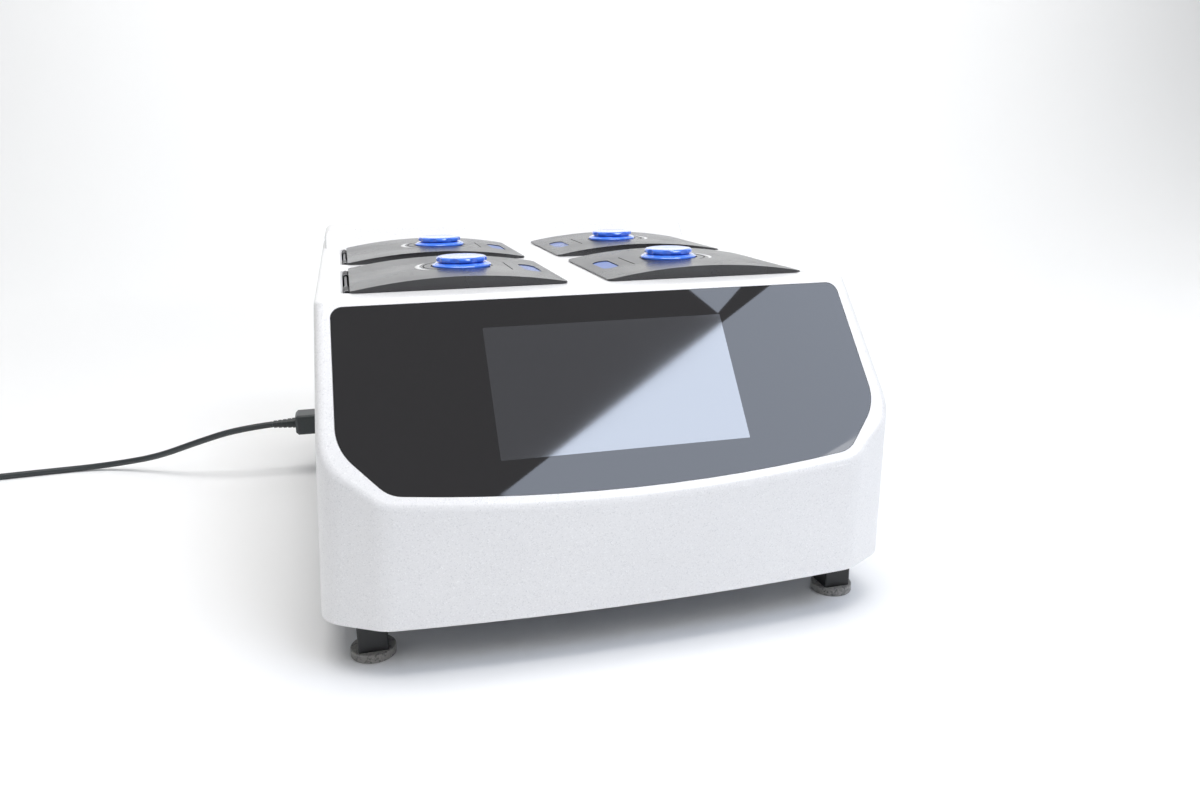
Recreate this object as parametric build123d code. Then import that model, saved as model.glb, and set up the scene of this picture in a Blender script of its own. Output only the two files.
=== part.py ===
from build123d import *
import os
from math import cos, pi, radians, sin, sqrt, tan

# Four-block thermal cycler, millimetres, +X to the right, +Y to the back, +Z up.
# The origin is under the middle of the instrument, on the bench top.

# Housing
BASE_Z = 35.0               # underside of the housing above the bench
DECK_Z = 232.4              # top face that carries the four lids
DECK_HALF = 190.0           # half width at the deck
BASE_HALF = DECK_HALF + 11.0
LID_HALF_Y = 66.0           # half length of a lid, which sets the depth of the instrument
BAY_ROWS = {"front": -LID_HALF_Y - 15.0, "rear": LID_HALF_Y + 20.0}
BAY_SIDES = {"left": -1, "right": 1}
CREASE_Y = BAY_ROWS["front"] - LID_HALF_Y - 26.0    # edge between the deck and the tilted face
HOOD_FRONT = BAY_ROWS["rear"] + LID_HALF_Y + 16.0
REAR_Y = HOOD_FRONT + 99.0  # back of the housing
FACE_TILT = 38.5            # tilt of the face back from upright, degrees
NOSE_REACH = 89.0           # bow of the front wall ahead of the crease, at the underside
NOSE_LEAN = 17.2            # how much further out it reaches at deck height
CORNER_DROP = 32.14         # the slanted front corner starts this far behind the nose
CORNER_LEAN = 2.79          # and this much less at deck height
CHAMFER_ANGLE = 31.5        # degrees from the X axis
BOW_RADIUS = 1600.0
CORNER_RADIUS = 27.0
REAR_RADIUS = 6.0
WALL = 3.0
FACE_WALL = 5.0
RIM_RADIUS = 6.0
DECK_EDGE_RADIUS = 3.0

# The tilted face
ST, CT = sin(radians(FACE_TILT)), cos(radians(FACE_TILT))
FACE = Plane(origin=(0, CREASE_Y, DECK_Z), x_dir=(1, 0, 0), z_dir=(0, -CT, ST))
FACE_LENGTH = (NOSE_REACH + NOSE_LEAN) / (ST + NOSE_LEAN * CT / (DECK_Z - BASE_Z))

# Display
GLASS_TOP = 5.0             # distances down the face from the crease
GLASS_NOSE = FACE_LENGTH - 7.76
GLASS_SIDE = GLASS_NOSE - 43.13
GLASS_HALF_TOP = DECK_HALF - 10.0
GLASS_HALF_LOW = DECK_HALF - 7.5
GLASS_ANGLE = 48.7
GLASS_BOW = 1150.0
GLASS_RADII = (20.0, 36.0, 8.0)
GLASS_THICK = 2.0
GLASS_SINK = 0.2            # glass surface below the rim
GLASS_GAP = 0.3             # gap all round the glass
SCREEN_HALF = GLASS_HALF_TOP - 96.0
SCREEN_TOP = 26.0
SCREEN_LOW = GLASS_NOSE - 26.0
SCREEN_THICK = 6.0
SCREEN_BORDER = 3.0
BRACKET_THICK = 1.5
BRACKET_REACH = 20.0
BOARD_GAP = 6.0
BOARD_THICK = 1.6
CHIP_HALF = 6.0

# Lid bays: one on each side of the middle, in two rows
LID_IN = 15.1               # lid edges, measured out from the middle of the instrument
LID_OUT = DECK_HALF - 23.2
LID_RISE = 7.2              # height of the arch over its edges
LID_EDGE = 1.1              # upright edge under the arch
LID_GAP = 0.5               # lid edge above the deck
LID_WALL = 2.5
LID_CORNER = 4.0
OPENING_IN = LID_IN + 2.2
OPENING_OUT = LID_OUT + 4.8
OPENING_HALF_Y = LID_HALF_Y - 4.0
OPENING_RADIUS = 4.0
OPENING_BEVEL = 1.5
LATCH_NOTCH = LID_IN + 0.3
FRAME_GAP = 2.0             # lid frame to the opening
FRAME_OUT = LID_OUT - 3.8
FRAME_PLATE = 3.0
FRAME_DEPTH = 10.9
FRAME_WALL = 2.0

# Hinges
HINGE_X = LID_OUT + 2.2
HINGE_DROP = 1.2            # pin axis below the deck
PIN_RADIUS = 1.2
PIN_FIT = 0.05
KNUCKLE_RADIUS = 2.2
KNUCKLE_LENGTH = 18.0
KNUCKLE_MIDDLE = LID_HALF_Y - 22.0
EAR_THICK = 4.0
EAR_GAP = 0.3

# Pressure knob, screw and heated platen
KNOB_X = (LID_IN + LID_OUT) / 2 - 7.95
FLANGE_RADIUS = 22.3
KNOB_TOP_RADIUS = 19.2
KNOB_NECK_RADIUS = 16.6
FLANGE_THICK = 4.0          # its top slopes up to the neck
FLANGE_EDGE = 2.6
KNOB_HEIGHT = 8.2
KNOB_SCALLOPS = 8
SCALLOP_RADIUS = 9.0
SCALLOP_DEPTH = 1.0
POCKET_GAP = 1.0
POCKET_DEPTH = 1.7          # knob pocket below the top of the arch
POCKET_FLOOR = 2.4
SPINDLE_RADIUS = 4.0
SHOULDER_RADIUS = 7.0
BOSS_RADIUS = 9.0
SLIDE_FIT = 0.05

# Sample block, heated platen and what cools the block
BLOCK_HALF_X = (LID_OUT - LID_IN) / 2 - 12.85
BLOCK_HALF_Y = LID_HALF_Y - 24.0
BLOCK_TOP = DECK_Z - 19.4
BLOCK_THICK = 18.0
WELL_COLUMNS = 12
WELL_ROWS = 8
WELL_PITCH_X = (2 * BLOCK_HALF_X - 18.0) / WELL_COLUMNS
WELL_PITCH_Y = (2 * BLOCK_HALF_Y - 12.0) / WELL_ROWS
WELL_TOP_RADIUS = 3.2 / 9.0 * min(WELL_PITCH_X, WELL_PITCH_Y)
WELL_LOW_RADIUS = WELL_TOP_RADIUS * 0.47
WELL_DEPTH = 14.0
PLATEN_HALF_X = BLOCK_HALF_X - 5.0
PLATEN_HALF_Y = BLOCK_HALF_Y
PLATEN_THICK = 4.0
MODULE_COLUMNS = 3
MODULE_ROWS = 2
MODULE_GAP = 1.5
MODULE_THICK = 3.6
SINK_PLATE = 8.4
SINK_HEIGHT = 73.0
FIN_THICK = 2.0
FIN_COUNT = 13
TRAY_IN = LID_IN - 7.1
TRAY_OUT = LID_OUT + 9.2
TRAY_HALF_Y = LID_HALF_Y - 0.5
TRAY_WALL = 2.0
TRAY_FLOOR = 2.5
TRAY_BELOW_BLOCK = 5.5      # tray floor below the block's top face

# Latch
BUTTON_X = LID_IN + 15.4
BUTTON_LENGTH = 42.0
BUTTON_WIDTH = 13.0
BUTTON_GAP = 0.3
BUTTON_SINK = 0.6
BUTTON_THICK = 1.6
BUTTON_TRAVEL = 2.5
LEG_BACK = 1.5
LEG_HALF = 4.0
HOOK_TRAVEL = 3.0
HOOK_GAP = 0.3
HOOK_BITE = 1.4
HOOK_HALF = 6.5
HOOK_ARM = 1.2
HOOK_NOSE = 3.6

# Chassis and power supplies
CHASSIS_HALF_X = DECK_HALF - 10.0
CHASSIS_FRONT = BAY_ROWS["front"] - LID_HALF_Y - 5.0
CHASSIS_REAR = BAY_ROWS["rear"] + LID_HALF_Y + 8.0
CHASSIS_SHEET = 2.0
CHASSIS_LEDGE = 2.0
SUPPLY_X = CHASSIS_HALF_X / 2 + 2.0
SUPPLY_WIDTH = CHASSIS_HALF_X - 84.0
SUPPLY_LENGTH = 3 * LID_HALF_Y + 12.0
SUPPLY_BELOW_SINK = 32.4
SUPPLY_SLOTS = 10

# Rear hood, panel and fans
HOOD_REAR = REAR_Y - 7.0
HOOD_TOP = DECK_Z + 17.3
HOOD_HALF = DECK_HALF - 3.0
HOOD_RADIUS = 8.0
HOOD_EDGE = 2.5
HOOD_SLOTS = 27             # exhaust slots in its rear wall
HOOD_SLOT_PITCH = (2 * HOOD_HALF - 50.0) / HOOD_SLOTS
HOOD_SLOT_WIDTH = HOOD_SLOT_PITCH / 2
HOOD_SLOT_LOW = 3.0
HOOD_SLOT_HIGH = 8.0
PANEL_HALF = DECK_HALF - 6.0
PANEL_LOW = BASE_Z + 11.0
PANEL_HIGH = DECK_Z - WALL - 0.2
PANEL_THICK = 1.5
PANEL_LIP = 6.0
FAN_X = DECK_HALF / 2
FAN_Z = (PANEL_LOW + PANEL_HIGH) / 2 - 5.6
FAN_SIZE = 92.0
FAN_DEPTH = 25.0
FAN_BORE = FAN_SIZE / 2 - 3.0
FAN_TIP_GAP = 1.5
FAN_BLADES = 7
FAN_SCREW = 2.2
HUB_RADIUS = 18.0
AXLE_RADIUS = 3.0
GUARD_WIRE = 0.9
GUARD_RINGS = (1 / 3, 0.56, 0.78, 1.0)
LOUVRES = 8                 # air slots between the fans
LOUVRE_FIRST = 26.0
LOUVRE_PITCH = (PANEL_HIGH - PANEL_LOW - 39.2) / LOUVRES
LOUVRE_HALF = FAN_X - FAN_SIZE / 2 - 11.0
LOUVRE_HEIGHT = 5.0

# Base and feet
PLATE_Z = BASE_Z + 1.0
PLATE_THICK = 2.0
PLATE_SLOTS = 9             # air slots across the base plate
PLATE_SLOT_FIRST = CREASE_Y + 43.0
PLATE_SLOT_PITCH = 30.0
PLATE_SLOT_WIDTH = 8.0
PLATE_SLOT_HALF = 60.0
FOOT_X = DECK_HALF - 20.0
FOOT_FRONT = CREASE_Y - 41.0
FOOT_REAR = REAR_Y - 41.0
FOOT_SIZE = 20.0
PAD_RADIUS = 15.1
PAD_THICK = 6.0
SCREW_RADIUS = 2.0
SCREW_HEAD = 3.8
SCREW_LENGTH = 12.0
PANEL_SCREW = 1.5
SIDE_SCREWS = (CREASE_Y + 23.0, REAR_Y - 257.0, REAR_Y - 22.0)
NOSE_SCREW_X = 80.0
BOSS_HALF = 6.0
BOSS_HEIGHT = 30.0

# Mains inlet, switch and lead
INLET_Y = REAR_Y - 90.0
INLET_Z = BASE_Z + 20.0
INLET_LENGTH = 27.6
INLET_HEIGHT = 20.2
INLET_DEPTH = 24.0
INLET_FLANGE = 1.6
FLANGE_LIP = 2.0            # flange of the inlet and the switch, beyond their cut-outs
SEAT_X = BASE_HALF - 2.2    # flat seats cut in the sloping left wall
SOCKET_WALL = 1.6
SOCKET_DEPTH = 16.0
PLUG_GAP = 0.3
PLUG_LIP = 2.0              # body of the plug, beyond the part in the socket
PLUG_LENGTH = 30.6
SWITCH_Y = REAR_Y - 51.0
SWITCH_LENGTH = 22.0
SWITCH_HEIGHT = 13.6
SWITCH_TILT = 9.0
SWITCH_WALL = 1.5
SWITCH_DEPTH = 18.0
ROCKER_PIN = 1.2
RELIEF_LENGTH = 23.0
CORD_RADIUS = 3.15
CORD_X = -SEAT_X - INLET_FLANGE - PLUG_LENGTH - RELIEF_LENGTH   # where the cord leaves its sleeve
BENCH_CORD = 3.2            # middle of the cord where it lies on the bench
CORD_ROUTE = [
    (CORD_X, INLET_Y, INLET_Z), (CORD_X - 34, INLET_Y + 1.5, INLET_Z - 2.5),
    (CORD_X - 76, INLET_Y + 16, INLET_Z - 17), (CORD_X - 118, INLET_Y + 40, 19.5),
    (CORD_X - 156, INLET_Y + 62, 9.0), (CORD_X - 194, INLET_Y + 74, BENCH_CORD),
    (CORD_X - 238, INLET_Y + 71.5, BENCH_CORD), (CORD_X - 286, INLET_Y + 67.5, BENCH_CORD),
    (CORD_X - 334, INLET_Y + 66.2, BENCH_CORD),
]
COIL_CENTRE = (CORD_X - 334, INLET_Y + 21.8)
COIL_OUTER = 47.6
COIL_INNER = 22.4
COIL_HEIGHT = 12.0
TAIL_X = COIL_CENTRE[0] - 44.2
TAIL_ROUTE = [
    (TAIL_X - 0.4, COIL_CENTRE[1], 8.6), (TAIL_X, COIL_CENTRE[1] - 18.8, 8.0),
    (TAIL_X, COIL_CENTRE[1] - 37.8, 8.0),
]
MAINS_PLUG = TAIL_ROUTE[-1]
MAINS_WIDTH = 50.0
MAINS_LENGTH = 50.0
MAINS_THICK = 17.0

# Heights and lines that follow from the sizes above
DECK_UNDER = DECK_Z - WALL
LID_Z = DECK_Z + LID_GAP
LID_TOP = LID_Z + LID_EDGE + LID_RISE
LID_X = (LID_IN + LID_OUT) / 2
LID_SPAN = LID_OUT - LID_IN
LID_RADIUS = ((LID_SPAN / 2) ** 2 + LID_RISE ** 2) / (2 * LID_RISE)
FRAME_IN = OPENING_IN + FRAME_GAP
FRAME_TOP = LID_Z
FRAME_UNDER = FRAME_TOP - FRAME_PLATE
FRAME_LOW = FRAME_TOP - FRAME_DEPTH
HINGE_Z = DECK_Z - HINGE_DROP
POCKET_Z = LID_TOP - POCKET_DEPTH
PLATEN_TOP = FRAME_UNDER - 2.4
PLATEN_LOW = PLATEN_TOP - PLATEN_THICK
TRAY_FLOOR_Z = BLOCK_TOP - TRAY_BELOW_BLOCK
BLOCK_LOW = BLOCK_TOP - BLOCK_THICK
SINK_TOP = BLOCK_LOW - MODULE_THICK
SINK_LOW = SINK_TOP - SINK_HEIGHT
CHASSIS_TOP = SINK_TOP - SINK_PLATE
SCREEN_BACK = GLASS_SINK + GLASS_THICK + SCREEN_THICK
PANEL_FRONT = REAR_Y - WALL - PANEL_THICK
PLATE_TOP = PLATE_Z + PLATE_THICK
SUPPLY_TOP = SINK_LOW - SUPPLY_BELOW_SINK
BIG = 3 * REAR_Y


def block(x0, x1, y0, y1, z0, z1):
    """Box between two corners."""
    size = Box(x1 - x0, y1 - y0, z1 - z0)
    return Pos((x0 + x1) / 2, (y0 + y1) / 2, (z0 + z1) / 2) * size


def rod(x, y, z0, z1, radius):
    """Upright cylinder."""
    return Pos(x, y, (z0 + z1) / 2) * Cylinder(radius, z1 - z0)


def rod_y(x, z, y0, y1, radius):
    """Cylinder along Y."""
    return Pos(x, (y0 + y1) / 2, z) * Rot(90, 0, 0) * Cylinder(radius, y1 - y0)


def slab(points, y0, y1):
    """Outline drawn in X and Z, extruded along Y."""
    outline = make_face(Polyline(*points, close=True))
    return Pos(0, y1, 0) * extrude(Plane.XZ * outline, y1 - y0)


def upright_edges(shape):
    """Edges that run along Z."""
    return shape.edges().filter_by(Axis.Z)


def placed(shape, side, row):
    """A piece drawn for the right-hand bay at Y 0, moved to one of the four bays."""
    if side < 0:
        shape = mirror(shape, about=Plane.YZ)
    return Pos(0, row, 0) * shape


def bays():
    """Name, side and row centre of each bay."""
    for row_name, row in BAY_ROWS.items():
        for side_name, side in BAY_SIDES.items():
            yield row_name + "_" + side_name, side, row


def in_each_bay(shape):
    """One node that holds a copy of a piece in each bay."""
    return Compound(children=[placed(shape, side, row) for _, side, row in bays()])


def write(shape, name):
    """One STEP file for one node."""
    export_step(shape, "parts/" + name + ".step")


# Outlines shared by the housing and the glass


def bowed_outline(back, half_back, half_front, nose, side, angle, bow, radii):
    """Straight back, slanted front corners and a bowed front, with rounded corners."""
    c, s = cos(radians(angle)), sin(radians(angle))
    corner = (half_front, -side)
    centre = nose + bow
    along = -corner[0] * c - (corner[1] - centre) * s
    gap = corner[0] ** 2 + (corner[1] - centre) ** 2 - bow ** 2
    run = -along + sqrt(along ** 2 - gap)
    knee = (corner[0] - run * c, corner[1] - run * s)
    right = [knee, corner, (half_back, back)]
    left = [(-x, y) for x, y in reversed(right)]
    face = make_face(Polyline(*right, *left) + ThreePointArc(left[-1], (0, nose), knee))
    for (x, y), radius in zip(right, radii):
        ends = [v for v in face.vertices() if abs(abs(v.X) - x) < 0.01 and abs(v.Y - y) < 0.01]
        face = fillet(ends, radius) if radius else face
    return face


def slant_inset(inset, angle):
    """How far a slanted corner's start moves back where both its lines move in."""
    return inset * (1 - sin(radians(angle))) / cos(radians(angle))


def housing_outline(z, inset=0.0):
    """Plan of the housing at one height, inset from its outer skin and long at the back."""
    rise = (z - BASE_Z) / (DECK_Z - BASE_Z)
    half = BASE_HALF + (DECK_HALF - BASE_HALF) * rise - inset
    nose = -NOSE_REACH - NOSE_LEAN * rise + inset
    corner = NOSE_REACH - CORNER_DROP + (NOSE_LEAN + CORNER_LEAN) * rise
    side = corner - slant_inset(inset, CHAMFER_ANGLE)
    round_front = CORNER_RADIUS - inset
    radii = (round_front, round_front, 0)
    back = REAR_Y - CREASE_Y + 10
    outline = bowed_outline(back, half, half, nose, side, CHAMFER_ANGLE, BOW_RADIUS - inset, radii)
    return Pos(0, CREASE_Y, z) * outline


def glass_outline(grow=0.0):
    """Outline of the display glass in the plane of the face."""
    radii = [radius + grow for radius in GLASS_RADII]
    return bowed_outline(
        -GLASS_TOP + grow, GLASS_HALF_TOP + grow, GLASS_HALF_LOW + grow, -GLASS_NOSE - grow,
        GLASS_SIDE + slant_inset(grow, GLASS_ANGLE), GLASS_ANGLE, GLASS_BOW + grow, radii,
    )


def behind_face(outline, near, far):
    """Solid behind the tilted face, between two depths."""
    return FACE * Pos(0, 0, -far) * extrude(outline, far - near)


def face_window(half, top, low):
    """Rectangle on the face, given by its distances down from the crease."""
    return Pos(0, -(top + low) / 2) * Rectangle(2 * half, low - top)


def face_point(down, depth):
    """Y and Z of a point on the face's section."""
    return (CREASE_Y - down * ST + depth * CT, DECK_Z - down * CT - depth * ST)


def ahead_of_face(depth):
    """Everything ahead of the tilted face, or of a plane at a depth behind it."""
    high, low = face_point(-FACE_LENGTH / 2, depth), face_point(2 * FACE_LENGTH, depth)
    section = Polyline(high, low, (-BIG, low[1]), (-BIG, high[1]), close=True)
    return extrude(Plane.YZ * make_face(section), BIG, both=True)


def ahead_of(y):
    """Everything in front of an upright plane across the instrument."""
    return block(-BIG, BIG, -BIG, y, 0, BIG)


# Housing and its panels


def outer_form():
    """Solid form of the housing with its soft edges."""
    form = loft([housing_outline(BASE_Z), housing_outline(DECK_Z)], ruled=True)
    form &= ahead_of(REAR_Y)
    rear = [edge for edge in form.edges() if is_rear_corner(edge)]
    form = fillet(rear, REAR_RADIUS) - ahead_of_face(0)
    rim = [edge for edge in form.edges() if lies_on_face(edge) and edge.center().Z < DECK_Z - 0.1]
    form = fillet(rim, RIM_RADIUS)
    flat = [edge for edge in form.edges() if lies_on_deck(edge) and edge.center().Y < REAR_Y - 5]
    return fillet(flat, DECK_EDGE_RADIUS)


def is_rear_corner(edge):
    """True for the two upright edges at the back."""
    middle = edge.center()
    return middle.Y > REAR_Y - 0.1 and abs(middle.X) > min(BASE_HALF, DECK_HALF) - 1


def lies_on_face(edge):
    """True for an edge in the plane of the tilted face."""
    points = [edge.center()] + [vertex.center() for vertex in edge.vertices()]
    return all(abs(FACE.to_local_coords(point).Z) < 0.05 for point in points)


def lies_on_deck(edge):
    """True for an edge in the plane of the deck."""
    return all(abs(vertex.Z - DECK_Z) < 0.02 for vertex in edge.vertices())


def inner_form(inset=WALL):
    """Space inside the housing's walls."""
    low, high = BASE_Z - 5, DECK_UNDER
    form = loft([housing_outline(low, inset), housing_outline(high, inset)], ruled=True)
    form &= ahead_of(REAR_Y - inset)
    return form - ahead_of_face(FACE_WALL)


def deck_opening():
    """Hole in the deck for one lid, with the bevel beside its hinge."""
    hole = block(OPENING_IN, OPENING_OUT, -OPENING_HALF_Y, OPENING_HALF_Y, DECK_UNDER - 1, DECK_Z + 1)
    hole = fillet(upright_edges(hole), OPENING_RADIUS)
    hole += block(LATCH_NOTCH, OPENING_IN + 1, -10, 10, DECK_UNDER - 1, DECK_Z + 1)
    inner, outer = OPENING_OUT - 1, OPENING_OUT + OPENING_BEVEL + 1
    points = [(inner, DECK_Z - OPENING_BEVEL - 1), (outer, DECK_Z + 1), (inner, DECK_Z + 1)]
    return hole + slab(points, 1 - OPENING_HALF_Y, OPENING_HALF_Y - 1)


def base_screw_places():
    """Where the base plate is screwed to the housing."""
    for y in SIDE_SCREWS:
        for side in (-1, 1):
            yield side * (BASE_HALF - WALL - 7), y
    for side in (-1, 1):
        yield side * NOSE_SCREW_X, CREASE_Y - NOSE_REACH + WALL + 9


def screw_bosses():
    """Posts on the inside of the walls that take the base screws."""
    posts = []
    top = PLATE_TOP + BOSS_HEIGHT
    for x, y in base_screw_places():
        if abs(x) > NOSE_SCREW_X:
            posts.append(block(x - 5, x + 5, y - BOSS_HALF, y + BOSS_HALF, PLATE_TOP, top))
            reach = x + (9 if x > 0 else -9)
            posts.append(block(min(x, reach), max(x, reach), y - 2, y + 2, PLATE_TOP, top))
        else:
            posts.append(block(x - BOSS_HALF, x + BOSS_HALF, y - 12, y + 5, PLATE_TOP, top))
    return posts


def bracket_posts(near, far, radius):
    """Four round posts behind the face that carry the display bracket."""
    places = [(side * (SCREEN_HALF + 14), -down) for side in (-1, 1) for down in (SCREEN_TOP, SCREEN_LOW)]
    return [FACE * Pos(x, y, -(near + far) / 2) * Cylinder(radius, far - near) for x, y in places]


def housing_shell():
    outer = outer_form()
    shell = outer - inner_form()
    for post in screw_bosses():
        shell += post & outer
    deep = PLATE_Z + SCREW_LENGTH + 1
    shell -= [rod(x, y, PLATE_Z, deep, SCREW_RADIUS) for x, y in base_screw_places()]
    shell -= [placed(deck_opening(), side, row) for _, side, row in bays()]
    shell -= behind_face(glass_outline(GLASS_GAP), -5, GLASS_SINK + GLASS_THICK)
    border = SCREEN_BORDER + 1
    window = face_window(SCREEN_HALF + border, SCREEN_TOP - border, SCREEN_LOW + border)
    shell -= behind_face(window, 0, FACE_WALL + 1)
    for post in bracket_posts(FACE_WALL - 0.5, SCREEN_BACK, 4):
        shell += post
    opening_x, opening_low = PANEL_HALF - PANEL_LIP, PANEL_LOW + PANEL_LIP
    back = REAR_Y - WALL
    cuts = [block(-opening_x, opening_x, back - 1, REAR_Y + 1, opening_low, DECK_UNDER)]
    cuts += [rod_y(x, z, back - 1, REAR_Y + 1, PANEL_SCREW + 0.1) for x, z in panel_screw_places()]
    shell -= cuts
    shell -= wall_seat(INLET_Y, INLET_LENGTH, INLET_HEIGHT)
    shell -= wall_seat(SWITCH_Y, SWITCH_LENGTH, SWITCH_HEIGHT)
    return shell


def wall_seat(y, length, height):
    """Flat seat and cut-out in the left wall for a flanged fitting."""
    outside = -BASE_HALF - 5
    seat = fitting_block(outside, -SEAT_X, y, length, height, FLANGE_LIP + 0.2)
    return seat + fitting_block(outside, 10 - SEAT_X, y, length, height, 0.1)


def fitting_block(x0, x1, y, length, height, grow=0.0):
    """Box round a wall fitting's outline, grown by a margin."""
    half, tall = length / 2 + grow, height / 2 + grow
    return block(x0, x1, y - half, y + half, INLET_Z - tall, INLET_Z + tall)


def base_plate():
    """Sheet under the instrument, with air slots and screw holes."""
    inset = WALL + 0.2
    plate = loft([housing_outline(PLATE_Z, inset), housing_outline(PLATE_TOP, inset)], ruled=True)
    plate &= ahead_of(REAR_Y - inset)
    for x, y in base_screw_places():
        plate -= rod(x, y, PLATE_Z - 1, PLATE_TOP + 1, SCREW_RADIUS + 0.2)
    for number in range(PLATE_SLOTS):
        y = PLATE_SLOT_FIRST + number * PLATE_SLOT_PITCH
        plate -= block(
            -PLATE_SLOT_HALF, PLATE_SLOT_HALF, y, y + PLATE_SLOT_WIDTH, PLATE_Z - 1, PLATE_TOP + 1,
        )
    return plate


def hood_form(low, inset):
    """Outer form of the hood from a given height up, drawn in by a margin; its front leans like the face."""
    front, lean = HOOD_FRONT + inset / CT, ST / CT
    top, rear = HOOD_TOP - inset, HOOD_REAR - inset
    section = Polyline(
        (front + (low - DECK_Z) * lean, low), (front + (top - DECK_Z) * lean, top), (rear, top), (rear, low),
        close=True,
    )
    form = extrude(Plane.YZ * make_face(section), HOOD_HALF - inset, both=True)
    return fillet(form.edges().filter_by(Axis.Y).group_by(Axis.Z)[-1], HOOD_RADIUS - inset)


def rear_hood():
    """Raised air hood across the back of the deck."""
    hood = hood_form(DECK_Z, 0)
    rear = hood.faces().sort_by(Axis.Y)[-1].edges().sort_by(Axis.Z)[-1]
    hood = fillet(rear, HOOD_RADIUS - 1)
    front = hood.faces().sort_by(Axis.Y)[0].edges().sort_by(Axis.Z)[-1]
    hood = fillet(front, HOOD_EDGE)
    hood -= hood_form(DECK_Z - 1, WALL)
    first = -(HOOD_SLOTS - 1) * HOOD_SLOT_PITCH / 2
    for number in range(HOOD_SLOTS):
        x = first + number * HOOD_SLOT_PITCH
        hood -= block(
            x - HOOD_SLOT_WIDTH / 2, x + HOOD_SLOT_WIDTH / 2, HOOD_REAR - WALL - 1, HOOD_REAR + 1,
            DECK_Z + HOOD_SLOT_LOW, DECK_Z + HOOD_SLOT_HIGH,
        )
    return hood


def panel_screw_places():
    """Screws round the rear panel."""
    edge_x, low, high = PANEL_HALF - PANEL_LIP / 2, PANEL_LOW + PANEL_LIP / 2, PANEL_HIGH - PANEL_LIP / 2
    for z in (low + 12, (low + high) / 2, high - 12):
        yield -edge_x, z
        yield edge_x, z


def rear_panel():
    """Sheet behind the housing's rear opening, with the fan holes and louvres."""
    panel = block(-PANEL_HALF, PANEL_HALF, PANEL_FRONT, REAR_Y - WALL, PANEL_LOW, PANEL_HIGH)
    for x in (-FAN_X, FAN_X):
        panel -= rod_y(x, FAN_Z, PANEL_FRONT - 1, REAR_Y, FAN_BORE)
        for dx in (-1, 1):
            for dz in (-1, 1):
                hole = FAN_SIZE / 2 - 5
                panel -= rod_y(x + dx * hole, FAN_Z + dz * hole, PANEL_FRONT - 1, REAR_Y, FAN_SCREW)
    for number in range(LOUVRES):
        z = PANEL_LOW + LOUVRE_FIRST + number * LOUVRE_PITCH
        panel -= block(-LOUVRE_HALF, LOUVRE_HALF, PANEL_FRONT - 1, REAR_Y, z, z + LOUVRE_HEIGHT)
    for x, z in panel_screw_places():
        panel -= rod_y(x, z, PANEL_FRONT - 1, REAR_Y, PANEL_SCREW + 0.1)
    return panel


def housing_screws():
    """Pan-head screws of the base plate and the rear panel."""
    screws = []
    for x, y in base_screw_places():
        head = rod(x, y, PLATE_Z - 2.2, PLATE_Z, SCREW_HEAD)
        screws.append(head + rod(x, y, PLATE_Z, PLATE_Z + SCREW_LENGTH, SCREW_RADIUS - 0.02))
    for x, z in panel_screw_places():
        head = rod_y(x, z, REAR_Y, REAR_Y + 1.6, PANEL_SCREW + 1.3)
        screws.append(head + rod_y(x, z, PANEL_FRONT - 2, REAR_Y, PANEL_SCREW))
    return Compound(children=screws)


# Display


def display_glass():
    return behind_face(glass_outline(), GLASS_SINK, GLASS_SINK + GLASS_THICK)


def display_module():
    """Panel behind the glass; it fills the window in the face."""
    outline = face_window(
        SCREEN_HALF + SCREEN_BORDER, SCREEN_TOP - SCREEN_BORDER, SCREEN_LOW + SCREEN_BORDER,
    )
    return behind_face(outline, GLASS_SINK + GLASS_THICK, SCREEN_BACK)


def display_bracket():
    """Sheet frame that holds the module, with four stand-offs for the board."""
    plate = face_window(SCREEN_HALF + BRACKET_REACH, SCREEN_TOP - 8, SCREEN_LOW + 8)
    plate -= face_window(SCREEN_HALF - BRACKET_REACH - 4, SCREEN_TOP + 14, SCREEN_LOW - 14)
    bracket = behind_face(plate, SCREEN_BACK, SCREEN_BACK + BRACKET_THICK)
    near = SCREEN_BACK + BRACKET_THICK
    for x, y in board_corners():
        bracket += FACE * Pos(x, y, -(near + BOARD_GAP / 2)) * Cylinder(3, BOARD_GAP)
    return bracket


def board_corners():
    """Fixing points of the control board on the face."""
    for x in (-SCREEN_HALF + 12, SCREEN_HALF - 12):
        for down in (SCREEN_TOP + 6, SCREEN_LOW - 6):
            yield x, -down


def control_board():
    """Circuit board with its processor, memory and connectors."""
    near = SCREEN_BACK + BRACKET_THICK + BOARD_GAP
    board = behind_face(face_window(SCREEN_HALF - 6, SCREEN_TOP, SCREEN_LOW), near, near + BOARD_THICK)
    back = near + BOARD_THICK
    middle = (SCREEN_TOP + SCREEN_LOW) / 2
    processor = face_window(2.6 * CHIP_HALF, middle - 2.6 * CHIP_HALF, middle + 2.6 * CHIP_HALF)
    board += behind_face(processor, back, back + 5)
    for x in (-0.62, -0.42, 0.42, 0.62):
        chip = Pos(x * SCREEN_HALF, -middle) * Rectangle(2 * CHIP_HALF, 3.6 * CHIP_HALF)
        board += behind_face(chip, back, back + 2)
    for x in (-0.6, 0, 0.6):
        plug = Pos(x * SCREEN_HALF, -SCREEN_LOW + 8) * Rectangle(4 * CHIP_HALF, 8)
        board += behind_face(plug, back, back + 7)
    return board


# Sample bays


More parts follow.
